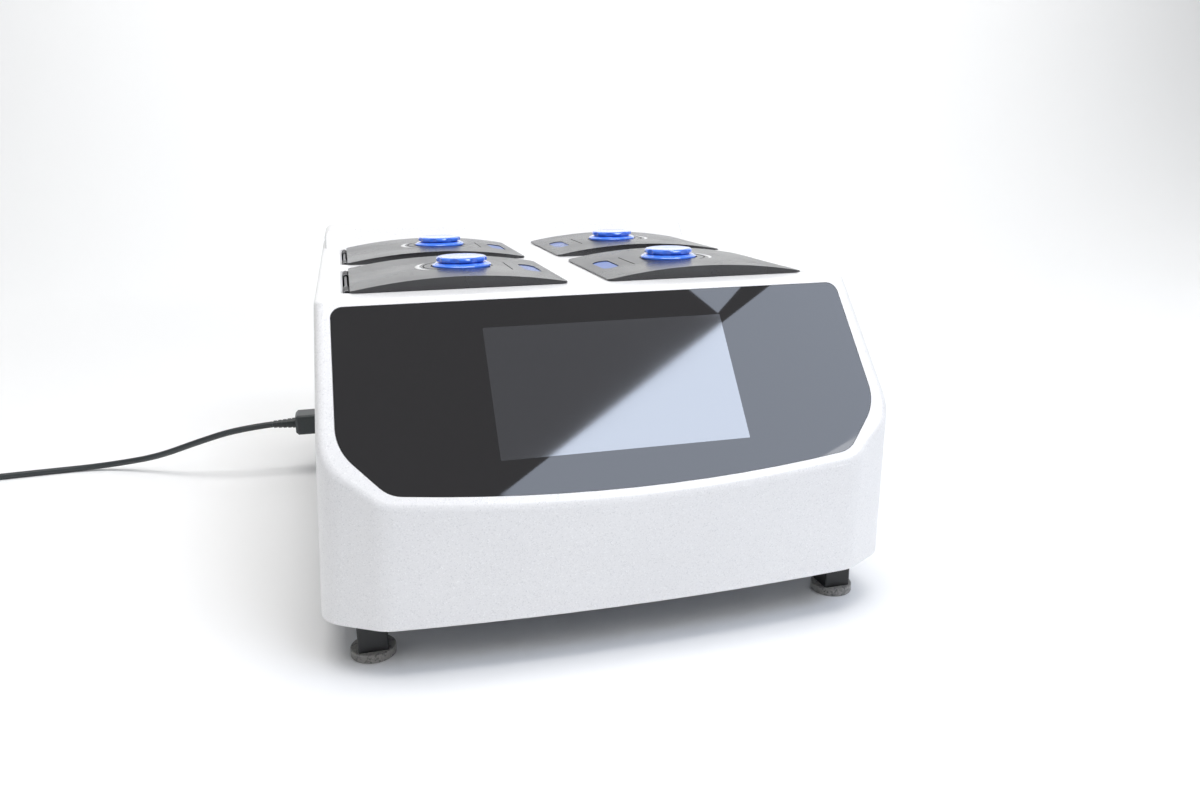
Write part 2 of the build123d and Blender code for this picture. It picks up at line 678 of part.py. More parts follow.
def bay_tray():
    """Tray below one deck opening; it frames the block and hangs from the deck."""
    outer = block(TRAY_IN, TRAY_OUT, -TRAY_HALF_Y, TRAY_HALF_Y, TRAY_FLOOR_Z - TRAY_FLOOR, DECK_UNDER)
    outer = fillet(upright_edges(outer), OPENING_RADIUS)
    inner = block(
        TRAY_IN + TRAY_WALL, TRAY_OUT - TRAY_WALL, TRAY_WALL - TRAY_HALF_Y, TRAY_HALF_Y - TRAY_WALL,
        TRAY_FLOOR_Z, DECK_UNDER + 1,
    )
    gap = 0.3
    hole = block(
        KNOB_X - BLOCK_HALF_X - gap, KNOB_X + BLOCK_HALF_X + gap, -BLOCK_HALF_Y - gap, BLOCK_HALF_Y + gap,
        BLOCK_LOW, TRAY_FLOOR_Z + 1,
    )
    return outer - inner - hole


def sample_block():
    """Aluminium block with a grid of tapered wells."""
    body = block(
        KNOB_X - BLOCK_HALF_X, KNOB_X + BLOCK_HALF_X, -BLOCK_HALF_Y, BLOCK_HALF_Y, BLOCK_LOW, BLOCK_TOP,
    )
    well = Cone(WELL_LOW_RADIUS, WELL_TOP_RADIUS, WELL_DEPTH)
    grid = GridLocations(WELL_PITCH_X, WELL_PITCH_Y, WELL_COLUMNS, WELL_ROWS)
    wells = [Pos(KNOB_X, 0, BLOCK_TOP - WELL_DEPTH / 2) * place * well for place in grid]
    return body - wells


def thermoelectric_modules():
    """Six tiles under each block."""
    tiles = []
    length = 2 * BLOCK_HALF_X / MODULE_COLUMNS - 2
    width = 2 * BLOCK_HALF_Y / MODULE_ROWS - 2
    tile = Box(length, width, MODULE_THICK)
    for place in GridLocations(length + MODULE_GAP, width + MODULE_GAP, MODULE_COLUMNS, MODULE_ROWS):
        tiles.append(Pos(KNOB_X, 0, SINK_TOP + MODULE_THICK / 2) * place * tile)
    return Compound(children=[placed(tile, side, row) for _, side, row in bays() for tile in tiles])


def heat_sink():
    """Finned heat sink under one block."""
    x0, x1 = KNOB_X - BLOCK_HALF_X, KNOB_X + BLOCK_HALF_X
    sink = block(x0, x1, -BLOCK_HALF_Y, BLOCK_HALF_Y, CHASSIS_TOP, SINK_TOP)
    step = (x1 - x0 - 12) / (FIN_COUNT - 1)
    for number in range(FIN_COUNT):
        x = x0 + 6 + number * step
        fin = block(
            x - FIN_THICK / 2, x + FIN_THICK / 2, 4 - BLOCK_HALF_Y, BLOCK_HALF_Y - 4,
            SINK_LOW, CHASSIS_TOP,
        )
        sink += fin
    return sink


def chassis_frame():
    """Folded sheet table that carries the heat sinks."""
    low = CHASSIS_TOP - CHASSIS_SHEET
    frame = block(-CHASSIS_HALF_X, CHASSIS_HALF_X, CHASSIS_FRONT, CHASSIS_REAR, low, CHASSIS_TOP)
    for side in (-1, 1):
        inner, outer = side * (CHASSIS_HALF_X - CHASSIS_SHEET), side * CHASSIS_HALF_X
        frame += block(min(inner, outer), max(inner, outer), CHASSIS_FRONT, CHASSIS_REAR, PLATE_TOP, low)
    middle = CHASSIS_SHEET / 2
    frame += block(-middle, middle, CHASSIS_FRONT, CHASSIS_REAR, PLATE_TOP, low)
    hole_x, hole_y = BLOCK_HALF_X - CHASSIS_LEDGE, BLOCK_HALF_Y - CHASSIS_LEDGE
    hole = block(KNOB_X - hole_x, KNOB_X + hole_x, -hole_y, hole_y, low - 1, CHASSIS_TOP + 1)
    for _, side, row in bays():
        frame -= placed(hole, side, row)
    return frame


def power_supplies():
    """Two enclosed supplies on the base plate, under the heat sinks."""
    cases = []
    half, long, top = SUPPLY_WIDTH / 2, SUPPLY_LENGTH / 2, SUPPLY_TOP
    pitch = (SUPPLY_LENGTH - 20) / SUPPLY_SLOTS
    for side in (-1, 1):
        case = block(-half, half, -long, long, PLATE_TOP, top)
        case = fillet(upright_edges(case), 2)
        for number in range(SUPPLY_SLOTS):
            y = (number - (SUPPLY_SLOTS - 1) / 2) * pitch
            case -= block(14 - half, half - 14, y - 2.5, y + 2.5, top - 2, top + 1)
        cases.append(Pos(side * SUPPLY_X, 0, 0) * case)
    return Compound(children=cases)


# Lids


def arch(y0, y1, drop=0.0):
    """Solid under the lid's arch, as wide as the lid, lowered by a wall thickness."""
    radius = LID_RADIUS - drop
    disc = rod_y(LID_X, LID_TOP - LID_RADIUS, y0, y1, radius)
    return disc & block(LID_IN, LID_OUT, y0, y1, LID_Z - 0.01, LID_TOP + 1)


def lid_cover():
    """Arched cover with the knob pocket and the button slot."""
    cover = block(LID_IN, LID_OUT, -LID_HALF_Y, LID_HALF_Y, LID_Z, LID_TOP + 1)
    cover = fillet(upright_edges(cover), LID_CORNER)
    cover &= rod_y(LID_X, LID_TOP - LID_RADIUS, -LID_HALF_Y, LID_HALF_Y, LID_RADIUS)
    cover -= arch(LID_WALL - LID_HALF_Y, LID_HALF_Y - LID_WALL, LID_WALL)
    pocket = FLANGE_RADIUS + POCKET_GAP
    under = POCKET_Z - POCKET_FLOOR
    boss = rod(KNOB_X, 0, under, LID_TOP, pocket + 2) & arch(-LID_HALF_Y, LID_HALF_Y, LID_WALL / 2)
    cover += boss
    cover -= rod(KNOB_X, 0, POCKET_Z, LID_TOP + 1, pocket)
    cover -= rod(KNOB_X, 0, LID_Z, POCKET_Z + 1, SPINDLE_RADIUS + 0.4)
    wall = button_shape(BUTTON_WIDTH + 3, BUTTON_LENGTH + 3, LID_Z, LID_TOP)
    cover += wall & arch(-LID_HALF_Y, LID_HALF_Y, LID_WALL / 2)
    cover -= button_shape(BUTTON_WIDTH, BUTTON_LENGTH, LID_Z - 1, LID_TOP + 1)
    return cover


def button_shape(width, length, z0, z1):
    """Upright form with round ends, long in Y, at the button's place."""
    outline = Pos(BUTTON_X, 0) * Rot(0, 0, 90) * SlotOverall(length, width)
    return Pos(0, 0, z0) * extrude(outline, z1 - z0)


def arch_height(x):
    """Top of the lid at a distance from the middle of the instrument."""
    return LID_TOP - LID_RADIUS + sqrt(LID_RADIUS ** 2 - (x - LID_X) ** 2)


def lid_frame():
    """Tray-shaped frame under the cover, with the hinge knuckles and the screw's guide."""
    half = OPENING_HALF_Y - FRAME_GAP
    frame = block(FRAME_IN, FRAME_OUT, -half, half, FRAME_LOW, FRAME_TOP)
    frame = fillet(upright_edges(frame), OPENING_RADIUS - FRAME_WALL)
    frame -= block(
        FRAME_IN + FRAME_WALL, FRAME_OUT - FRAME_WALL, FRAME_WALL - half, half - FRAME_WALL,
        FRAME_LOW - 1, FRAME_UNDER,
    )
    frame -= rod(KNOB_X, 0, FRAME_UNDER - 1, FRAME_TOP + 1, BOSS_RADIUS + SLIDE_FIT)
    frame -= block(FRAME_IN - 1, FRAME_IN + FRAME_WALL + 1, -9.5, 9.5, FRAME_LOW - 1, FRAME_UNDER)
    frame -= button_shape(BUTTON_WIDTH, BUTTON_LENGTH, FRAME_UNDER - 1, FRAME_TOP + 1)
    for side in (-1, 1):
        y0 = side * KNUCKLE_MIDDLE - KNUCKLE_LENGTH / 2
        y1 = y0 + KNUCKLE_LENGTH
        frame += rod_y(HINGE_X, HINGE_Z, y0, y1, KNUCKLE_RADIUS)
        frame += block(FRAME_OUT - 1, HINGE_X, y0, y1, FRAME_UNDER, FRAME_TOP - 0.5)
        frame -= rod_y(HINGE_X, HINGE_Z, y0 - 1, y1 + 1, PIN_RADIUS + PIN_FIT)
    return frame


def hinge_ears():
    """Start and end in Y of each fixed ear on the pin."""
    gap = KNUCKLE_LENGTH / 2 + EAR_GAP
    for side in (-1, 1):
        for edge in (-1, 1):
            near = side * KNUCKLE_MIDDLE + edge * gap
            yield min(near, near + edge * EAR_THICK), max(near, near + edge * EAR_THICK)


def hinge_bracket():
    """Bar on the tray floor with the ears that hold the pin."""
    half = KNUCKLE_MIDDLE + KNUCKLE_LENGTH / 2 + EAR_GAP + EAR_THICK
    inner, outer = HINGE_X - 4, TRAY_OUT - TRAY_WALL
    bracket = block(inner, outer, -half, half, TRAY_FLOOR_Z, TRAY_FLOOR_Z + 3)
    for y0, y1 in hinge_ears():
        web = KNUCKLE_RADIUS
        bracket += block(HINGE_X - web, HINGE_X + web, y0, y1, TRAY_FLOOR_Z, HINGE_Z)
        bracket += rod_y(HINGE_X, HINGE_Z, y0, y1, KNUCKLE_RADIUS)
        bracket -= rod_y(HINGE_X, HINGE_Z, y0 - 1, y1 + 1, PIN_RADIUS + 0.01)
    return bracket


def hinge_pin():
    half = KNUCKLE_MIDDLE + KNUCKLE_LENGTH / 2 + EAR_GAP + EAR_THICK
    return rod_y(HINGE_X, HINGE_Z, -half, half, PIN_RADIUS)


def heated_platen():
    """Heated plate with the guide boss that the knob's screw runs in."""
    near, far = KNOB_X - PLATEN_HALF_X, KNOB_X + PLATEN_HALF_X
    plate = block(near, far, -PLATEN_HALF_Y, PLATEN_HALF_Y, PLATEN_LOW, PLATEN_TOP)
    plate = fillet(upright_edges(plate), 3)
    plate += rod(KNOB_X, 0, PLATEN_TOP, spindle_shoulder() - 0.5, BOSS_RADIUS)
    return plate - rod(KNOB_X, 0, PLATEN_TOP + 0.2, LID_TOP, SPINDLE_RADIUS + SLIDE_FIT)


def spindle_shoulder():
    """Underside of the shoulder that keeps the spindle in the cover."""
    return POCKET_Z - POCKET_FLOOR - 1.2


def pressure_knob():
    """Knob with a wide flange, a narrow neck, a scalloped grip and its screw."""
    low = POCKET_Z + HOOK_GAP
    rim = low + FLANGE_EDGE
    neck = low + FLANGE_THICK
    top = low + KNOB_HEIGHT
    flange, grip = FLANGE_RADIUS, KNOB_TOP_RADIUS
    profile = Polyline(
        (0, low), (flange - 0.8, low), (flange, low + 0.7), (flange, rim - 0.7), (flange - 0.6, rim - 0.2),
        (grip, neck - 0.3), (KNOB_NECK_RADIUS + 0.6, neck - 0.1),
        (KNOB_NECK_RADIUS, neck + 0.2),
        (KNOB_NECK_RADIUS, neck + 0.4), (grip - 0.3, neck + 0.9), (grip, neck + 1.4), (grip, top - 1.8),
        (grip - 0.4, top - 0.9), (grip - 1.3, top - 0.25), (grip - 2.6, top), (grip - 6, top - 0.2),
        (0, top - 0.5), close=True,
    )
    knob = revolve(Plane.XZ * make_face(profile), Axis.Z)
    reach = KNOB_TOP_RADIUS + SCALLOP_RADIUS - SCALLOP_DEPTH
    for number in range(KNOB_SCALLOPS):
        angle = 2 * pi * (number + 0.5) / KNOB_SCALLOPS
        knob -= rod(reach * cos(angle), reach * sin(angle), neck + 0.2, top + 1, SCALLOP_RADIUS)
    knob = Pos(KNOB_X, 0, 0) * knob
    knob += rod(KNOB_X, 0, PLATEN_TOP + 0.6, low + 1, SPINDLE_RADIUS)
    return knob + rod(KNOB_X, 0, spindle_shoulder(), spindle_shoulder() + 1.0, SHOULDER_RADIUS)


# Latches


def hook_slope_x():
    """Where the button's wedge meets the hook's tab."""
    return BUTTON_X - 1.0


def button_low():
    """Underside of the button's pad."""
    return arch_height(BUTTON_X - BUTTON_WIDTH / 2) - BUTTON_SINK - BUTTON_THICK


def tab_top():
    """Top of the hook's tab, just clear of the pressed button."""
    return button_low() - BUTTON_TRAVEL - HOOK_GAP


def latch_button():
    """Long button in the lid; its leg ends in a wedge that drives the hook."""
    width, length = BUTTON_WIDTH - 2 * BUTTON_GAP, BUTTON_LENGTH - 2 * BUTTON_GAP
    pad = button_shape(width, length, button_low(), LID_TOP)
    crown = LID_RADIUS - BUTTON_SINK
    pad &= rod_y(LID_X, LID_TOP - LID_RADIUS, -BUTTON_LENGTH, BUTTON_LENGTH, crown)
    x, low, high = hook_slope_x(), tab_top(), button_low() + 0.5
    leg = [
        (x - LEG_BACK, low), (x, low), (x + HOOK_TRAVEL, low + BUTTON_TRAVEL),
        (x + HOOK_TRAVEL, high), (x - LEG_BACK, high),
    ]
    return pad + slab(leg, -LEG_HALF, LEG_HALF)


def latch_hook():
    """Sliding hook: a nose under the keeper, a leg, a forked arm and the tab for the wedge."""
    slope = HOOK_TRAVEL / BUTTON_TRAVEL
    arm_top = FRAME_UNDER - HOOK_GAP
    arm_low = arm_top - HOOK_ARM
    leg_in, leg_out = FRAME_IN - 0.7, FRAME_IN + 1.5
    nose_in, nose_top = OPENING_IN - HOOK_BITE, keeper_low() - HOOK_GAP
    low = nose_top - HOOK_NOSE
    x = hook_slope_x()
    arm_out = x - LEG_BACK - HOOK_TRAVEL - HOOK_GAP
    nose = [
        (nose_in, nose_top), (nose_in, nose_top - 2.2), (leg_in, low), (leg_out, low), (leg_out, arm_low),
        (arm_out, arm_low), (arm_out, arm_top), (leg_in, arm_top), (leg_in, nose_top),
    ]
    hook = slab(nose, -HOOK_HALF, HOOK_HALF)
    face_top = x + HOOK_GAP
    face_low = face_top - slope * (tab_top() - arm_low)
    tab_out = face_top + HOOK_TRAVEL
    tab = [(face_low, arm_low), (tab_out, arm_low), (tab_out, tab_top()), (face_top, tab_top())]
    hook += slab(tab, -HOOK_HALF, HOOK_HALF)
    for side in (-1, 1):
        near, far = side * (LEG_HALF + HOOK_GAP), side * HOOK_HALF
        hook += block(arm_out - 1, tab_out, min(near, far), max(near, far), arm_low, arm_top)
    return hook


def keeper_low():
    """Underside of the keeper that the hook catches."""
    return DECK_UNDER - 3.2


def latch_keeper():
    """Catch plate on the inner wall of the tray, under the deck's edge."""
    plate = block(TRAY_IN + TRAY_WALL, LATCH_NOTCH - 0.1, -12, 12, keeper_low(), DECK_UNDER)
    return plate + block(LATCH_NOTCH - 1, OPENING_IN - 0.1, -9.5, 9.5, keeper_low(), DECK_UNDER - 1.2)


# Fans


def fan_frame():
    """Square frame with its hub seat and struts."""
    half = FAN_SIZE / 2
    y0, y1 = PANEL_FRONT - FAN_DEPTH, PANEL_FRONT
    frame = block(-half, half, y0, y1, -half, half)
    frame = fillet(frame.edges().filter_by(Axis.Y), 5)
    frame -= rod_y(0, 0, y0 - 1, y1 + 1, FAN_BORE)
    for angle in (45, 135):
        strut = block(-half + 1, half - 1, y0, y0 + 3, -2.5, 2.5)
        frame += Rot(0, angle, 0) * strut & rod_y(0, 0, y0, y0 + 3, FAN_BORE + 1)
    frame += rod_y(0, 0, y0, y0 + 3, HUB_RADIUS)
    frame -= rod_y(0, 0, y0 - 1, y1, AXLE_RADIUS + SLIDE_FIT)
    for dx in (-1, 1):
        for dz in (-1, 1):
            frame -= rod_y(dx * (half - 5), dz * (half - 5), y0 - 1, y1 + 1, FAN_SCREW)
    return Pos(0, 0, FAN_Z) * frame


def fan_rotor():
    """Hub with its axle and twisted blades."""
    y0, y1 = PANEL_FRONT - FAN_DEPTH + 4, PANEL_FRONT - 3
    rotor = rod_y(0, 0, y0, y1, HUB_RADIUS)
    rotor += rod_y(0, 0, PANEL_FRONT - FAN_DEPTH + 0.5, y0 + 1, AXLE_RADIUS)
    tip = FAN_BORE - FAN_TIP_GAP
    middle = (y0 + y1) / 2
    for number in range(FAN_BLADES):
        blade = Pos(0, 0, (HUB_RADIUS + tip) / 2) * Rot(0, 0, 38) * Box(1.6, 20, tip - HUB_RADIUS + 6)
        blade = Pos(0, middle, 0) * Rot(0, 360 * number / FAN_BLADES, 0) * blade
        rotor += blade & rod_y(0, 0, y0, y1, tip)
    return Pos(0, 0, FAN_Z) * rotor


def fan_guard():
    """Wire guard on the outside of the rear panel."""
    y = REAR_Y - WALL + GUARD_WIRE
    guard = None
    for share in GUARD_RINGS:
        ring = Pos(0, y, 0) * Rot(90, 0, 0) * Torus(share * FAN_BORE, GUARD_WIRE)
        guard = ring if guard is None else guard + ring
    for angle in (45, 135):
        bar = Rot(0, angle, 0) * Box(2.6 * FAN_BORE, 1.6 * GUARD_WIRE, 2.2 * GUARD_WIRE)
        guard += Pos(0, y, 0) * bar
    return Pos(0, 0, FAN_Z) * guard


# Feet


def feet(make):
    """The same piece at each of the four feet."""
    places = [(x, y) for y in (FOOT_FRONT, FOOT_REAR) for x in (-FOOT_X, FOOT_X)]
    return Compound(children=[Pos(x, y, 0) * make() for x, y in places])


def foot_post():
    half = FOOT_SIZE / 2
    return fillet(upright_edges(block(-half, half, -half, half, PAD_THICK, PLATE_Z)), 1.5)


def foot_pad():
    return chamfer(rod(0, 0, 0, PAD_THICK, PAD_RADIUS).edges(), 0.5)


# Mains inlet, switch and lead


def mains_inlet():
    """Flanged inlet with its socket and three blades."""
    y, length, height = INLET_Y, INLET_LENGTH, INLET_HEIGHT
    mouth = -SEAT_X - INLET_FLANGE
    inlet = fitting_block(-SEAT_X, INLET_DEPTH - SEAT_X, y, length, height)
    inlet += fitting_block(mouth, -SEAT_X, y, length, height, FLANGE_LIP)
    inlet -= fitting_block(mouth - 1, mouth + SOCKET_DEPTH, y, length, height, -SOCKET_WALL)
    for place in blade_places():
        inlet += blade(mouth + 2, mouth + SOCKET_DEPTH + 1, place)
    return inlet


def blade_places():
    """Offsets in Y and Z of the inlet's blades."""
    return ((-7.0, -2.0), (0.0, 2.0), (7.0, -2.0))


def blade(x0, x1, place, grow=0.0):
    """One blade of the inlet, or the slot for it."""
    y, z = INLET_Y + place[0], INLET_Z + place[1]
    wide, tall = 1.0 + grow, 2.0 + grow
    return block(x0, x1, y - wide, y + wide, z - tall, z + tall)


def appliance_plug():
    """Moulded plug that sits in the inlet."""
    y, length, height = INLET_Y, INLET_LENGTH, INLET_HEIGHT
    inset = -SOCKET_WALL - PLUG_GAP
    mouth = -SEAT_X - INLET_FLANGE
    plug = fitting_block(mouth - PLUG_LENGTH, mouth, y, length, height, inset + PLUG_LIP)
    plug = fillet(plug.edges().filter_by(Axis.X), 3)
    plug = chamfer(plug.faces().sort_by(Axis.X)[0].edges(), 2.5)
    plug += fitting_block(mouth - 1, mouth + SOCKET_DEPTH - 1, y, length, height, inset)
    for place in blade_places():
        plug -= blade(mouth + 1, mouth + SOCKET_DEPTH, place, PLUG_GAP)
    return plug


def plug_strain_relief():
    """Tapered, ribbed sleeve between the plug and its cord."""
    start = -SEAT_X - INLET_FLANGE - PLUG_LENGTH
    ribs = 5
    step = RELIEF_LENGTH / ribs
    profile = [(0, 0)]
    for number in range(ribs):
        radius = 5.2 - number * 0.35
        profile += [(radius, number * step), (radius, number * step + step * 0.7)]
        profile += [(radius - 0.8, number * step + step * 0.7), (radius - 0.8, (number + 1) * step)]
    profile += [(0, RELIEF_LENGTH)]
    sleeve = revolve(Plane.XZ * make_face(Polyline(*profile, close=True)), Axis.Z)
    return Pos(start, INLET_Y, INLET_Z) * Rot(0, -90, 0) * sleeve


def switch_frame():
    """Bezel of the mains switch, open to the outside, with the pivot holes."""
    y, length, height = SWITCH_Y, SWITCH_LENGTH, SWITCH_HEIGHT
    frame = fitting_block(-SEAT_X, SWITCH_DEPTH - SEAT_X, y, length, height)
    frame += fitting_block(-SEAT_X - 1, -SEAT_X, y, length, height, FLANGE_LIP)
    frame -= fitting_block(-SEAT_X - 2, SWITCH_DEPTH - 6 - SEAT_X, y, length, height, -SWITCH_WALL)
    low, high = INLET_Z - height, INLET_Z + height
    return frame - rod(rocker_pivot(), y, low, high, ROCKER_PIN + PIN_FIT)


def rocker_pivot():
    """X of the rocker's pivot."""
    return -SEAT_X + 3.5


def power_switch():
    """Rocker on its pivot, stored tipped to the off side."""
    half = SWITCH_LENGTH / 2 - SWITCH_WALL - 0.8
    tall = SWITCH_HEIGHT / 2 - SWITCH_WALL - 0.3
    face = Polyline(
        (-2.6, -half), (-4.4, -half), (-3.2, 0), (-4.4, half), (-2.6, half), (3.0, 2.5), (3.0, -2.5),
        close=True,
    )
    rocker = Pos(0, 0, -tall) * extrude(make_face(face), 2 * tall)
    reach = SWITCH_HEIGHT / 2 - 0.2
    rocker += rod(0, 0, -reach, reach, ROCKER_PIN)
    return Pos(rocker_pivot(), SWITCH_Y, INLET_Z) * Rot(0, 0, SWITCH_TILT) * rocker


def route_radii(points):
    """Largest arc that each corner of a route leaves room for."""
    radii = []
    for before, here, after in zip(points, points[1:], points[2:]):
        first, second = Vector(*here) - Vector(*before), Vector(*after) - Vector(*here)
        turn = first.get_angle(second)
        radii.append(0.45 * min(first.length, second.length) / tan(radians(turn / 2)))
    return radii


def cord_tube(points):
    """Tube along a route of straight runs joined by arcs."""
    radii = route_radii(points)
    path = FilletPolyline(*points, radius=radii)
    start = Plane(origin=points[0], z_dir=Vector(*points[1]) - Vector(*points[0]))
    tube = sweep(start * Circle(CORD_RADIUS), path=path)
    section = pi * CORD_RADIUS ** 2
    print("cord radii", [round(radius) for radius in radii], "length", round(path.length, 1))
    print("tube volume over section times length", round(tube.volume / (section * path.length), 4))
    return tube


def power_cord_coil():
    """Outer form of the coiled length of the cord."""
    ring = rod(0, 0, 0, COIL_HEIGHT, COIL_OUTER) - rod(0, 0, -1, COIL_HEIGHT + 1, COIL_INNER)
    ring = fillet(ring.edges().filter_by(GeomType.CIRCLE), 3)
    return Pos(*COIL_CENTRE, 0) * ring


def mains_plug():
    """Flat-backed plug that lies on the bench with its three pins up."""
    x, y = MAINS_PLUG[:2]
    half = MAINS_WIDTH / 2
    right = [(8, 0), (half - 6, -12), (half, -22), (half, 6 - MAINS_LENGTH), (half - 6, -MAINS_LENGTH)]
    left = [(-x, y) for x, y in reversed(right)]
    outline = Polyline(*right, *left, close=True)
    body = extrude(make_face(outline), MAINS_THICK)
    body = chamfer(body.faces().sort_by(Axis.Z)[-1].edges(), 1.2)
    body += block(-4, 4, -26 - 2, -26 + 2, MAINS_THICK - 1, MAINS_THICK + 22)
    for side in (-11, 11):
        body += block(side - 3.2, side + 3.2, -40, -36, MAINS_THICK - 1, MAINS_THICK + 17)
    return Pos(x, y, 0) * body


# Assembly


def build():
    os.makedirs("parts", exist_ok=True)
    write(housing_shell(), "housing_shell")
    write(base_plate(), "base_plate")
    write(rear_hood(), "rear_hood")
    write(rear_panel(), "rear_panel")
    write(housing_screws(), "housing_screws")
    write(chassis_frame(), "chassis_frame")
    write(power_supplies(), "power_supplies")
    write(display_glass(), "display_glass")
    write(display_module(), "display_module")
    write(display_bracket(), "display_bracket")
    write(control_board(), "control_board")
    write(in_each_bay(bay_tray()), "bay_trays")
    write(in_each_bay(heat_sink()), "heat_sinks")
    write(thermoelectric_modules(), "thermoelectric_modules")
    write(in_each_bay(hinge_bracket()), "hinge_brackets")
    write(in_each_bay(hinge_pin()), "hinge_pins")
    write(in_each_bay(latch_keeper()), "latch_keepers")
    moving = {
        "sample_block": sample_block(), "lid_cover": lid_cover(), "lid_frame": lid_frame(),
        "heated_platen": heated_platen(), "pressure_knob": pressure_knob(),
        "latch_button": latch_button(), "latch_hook": latch_hook(),
    }
    for bay, side, row in bays():
        for name, shape in moving.items():
            write(placed(shape, side, row), name + "_" + bay)
    write(Compound(children=[Pos(x, 0, 0) * fan_frame() for x in (-FAN_X, FAN_X)]), "fan_frames")
    write(Compound(children=[Pos(x, 0, 0) * fan_guard() for x in (-FAN_X, FAN_X)]), "fan_guards")
    write(Pos(-FAN_X, 0, 0) * fan_rotor(), "fan_rotor_left")
    write(Pos(FAN_X, 0, 0) * fan_rotor(), "fan_rotor_right")
    write(feet(foot_post), "foot_posts")
    write(feet(foot_pad), "foot_pads")
    write(mains_inlet(), "mains_inlet")
    write(switch_frame(), "switch_frame")
    write(power_switch(), "power_switch")
    write(appliance_plug(), "appliance_plug")
    write(plug_strain_relief(), "plug_strain_relief")
    write(cord_tube(CORD_ROUTE), "power_cord")
    write(power_cord_coil(), "power_cord_coil")
    write(cord_tube(TAIL_ROUTE), "power_cord_tail")
    write(mains_plug(), "mains_plug")


build()
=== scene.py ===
from math import atan2, cos, hypot, pi, radians, sin, sqrt

import bmesh
import bpy
from mathutils import Matrix, Vector


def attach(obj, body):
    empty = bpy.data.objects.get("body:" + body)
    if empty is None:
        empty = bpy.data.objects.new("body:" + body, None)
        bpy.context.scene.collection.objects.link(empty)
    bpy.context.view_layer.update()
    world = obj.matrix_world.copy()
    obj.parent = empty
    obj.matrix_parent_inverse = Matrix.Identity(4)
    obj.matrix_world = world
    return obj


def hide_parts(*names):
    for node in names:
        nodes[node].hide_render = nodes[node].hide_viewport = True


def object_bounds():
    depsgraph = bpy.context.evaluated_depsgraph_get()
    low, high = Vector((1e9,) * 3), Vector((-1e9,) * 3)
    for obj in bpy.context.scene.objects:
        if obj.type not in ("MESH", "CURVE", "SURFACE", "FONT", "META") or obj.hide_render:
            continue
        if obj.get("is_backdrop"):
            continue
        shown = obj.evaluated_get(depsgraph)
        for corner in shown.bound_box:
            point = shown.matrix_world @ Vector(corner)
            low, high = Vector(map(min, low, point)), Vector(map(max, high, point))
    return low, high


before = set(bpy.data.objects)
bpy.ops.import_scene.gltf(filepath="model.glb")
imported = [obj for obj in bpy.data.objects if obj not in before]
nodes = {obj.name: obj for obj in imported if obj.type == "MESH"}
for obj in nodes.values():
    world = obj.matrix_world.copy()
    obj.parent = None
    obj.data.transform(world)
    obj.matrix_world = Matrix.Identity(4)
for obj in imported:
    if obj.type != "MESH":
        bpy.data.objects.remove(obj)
cad_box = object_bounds()

# Driving sizes of the CAD model, in metres
BAYS = {                    # side of the middle, and the row's place in y
    "front_left": (-1, -0.081), "front_right": (1, -0.081),
    "rear_left": (-1, 0.086), "rear_right": (1, 0.086),
}
DECK_Z = 0.2324
CREASE_Y = -0.173           # where the deck bends down into the tilted face
FACE_TILT = radians(38.5)   # of the face, from upright
GLASS_SUNK = 0.0002         # display glass below the face
LID_TOP = 0.2412
LID_X = 0.09095             # crown of a lid's arch, from the middle
LID_RADIUS = 0.40312        # of the arch
KNOB_X = 0.083
SCREEN_HALF = 0.084         # half of the lit area's width
SCREEN_TOP = 0.026          # lit area's upper and lower edge, down the face from the crease
SCREEN_LOW = 0.120
CORD_RADIUS = 0.00315

# Camera, solved from the photograph
CAMERA_PLACE = (-0.16666, -0.79559, 0.32721)
CAMERA_YAW = 0.262
CAMERA_PITCH = 0.266
CAMERA_ROLL = 0.010
CLIP_START = 0.01
SENSOR = 36.0
FOCAL_PIXELS = 931.67
PHOTO_WIDTH = 1200


def make_camera():
    yaw, pitch, roll = CAMERA_YAW, CAMERA_PITCH, CAMERA_ROLL
    ahead = Vector((sin(yaw) * cos(pitch), cos(yaw) * cos(pitch), -sin(pitch)))
    level = Vector((cos(yaw), -sin(yaw), 0))
    upward = Vector((sin(yaw) * sin(pitch), cos(yaw) * sin(pitch), cos(pitch)))
    right = cos(roll) * level - sin(roll) * upward
    top = sin(roll) * level + cos(roll) * upward
    data = bpy.data.cameras.new("camera")
    data.sensor_width = SENSOR
    data.lens = FOCAL_PIXELS * SENSOR / PHOTO_WIDTH
    data.clip_start = CLIP_START
    camera = bpy.data.objects.new("camera", data)
    turn = Matrix((right, top, -ahead)).transposed().to_4x4()
    camera.matrix_world = Matrix.Translation(CAMERA_PLACE) @ turn
    bpy.context.scene.collection.objects.link(camera)
    bpy.context.scene.camera = camera


make_camera()

# Mains lead: along the table, round the coil, to the wall plug

CORD_ROUTE = [
    (-0.254, 0.177, 0.055), (-0.288, 0.1785, 0.0525), (-0.330, 0.193, 0.038),
    (-0.372, 0.217, 0.0195), (-0.410, 0.239, 0.009), (-0.448, 0.251, 0.0032),
    (-0.492, 0.2485, 0.0032), (-0.540, 0.2445, 0.0032), (-0.588, 0.2432, 0.0032),
]
TAIL_ROUTE = [(-0.6326, 0.1988, 0.0086), (-0.6322, 0.180, 0.008), (-0.6322, 0.161, 0.008)]
COIL_CENTRE = (-0.588, 0.1988)
COIL_POINTS = 20            # points of the spline in each turn
COIL_TURNS = 6.25
COIL_RISE = 3.0             # turns in the lower layer
COIL_REST = 0.3             # turns at the inner radius, while the lead rises
RISE_EARLY = 0.05           # turns by which the rise starts before the layer ends
RISE_LENGTH = 0.4           # turns that the rise takes
COIL_OUTER = 0.0444
COIL_INNER = 0.0255
COIL_LOW = 0.0032
COIL_HIGH = 0.0095
SPLINE_ROUNDNESS = 5
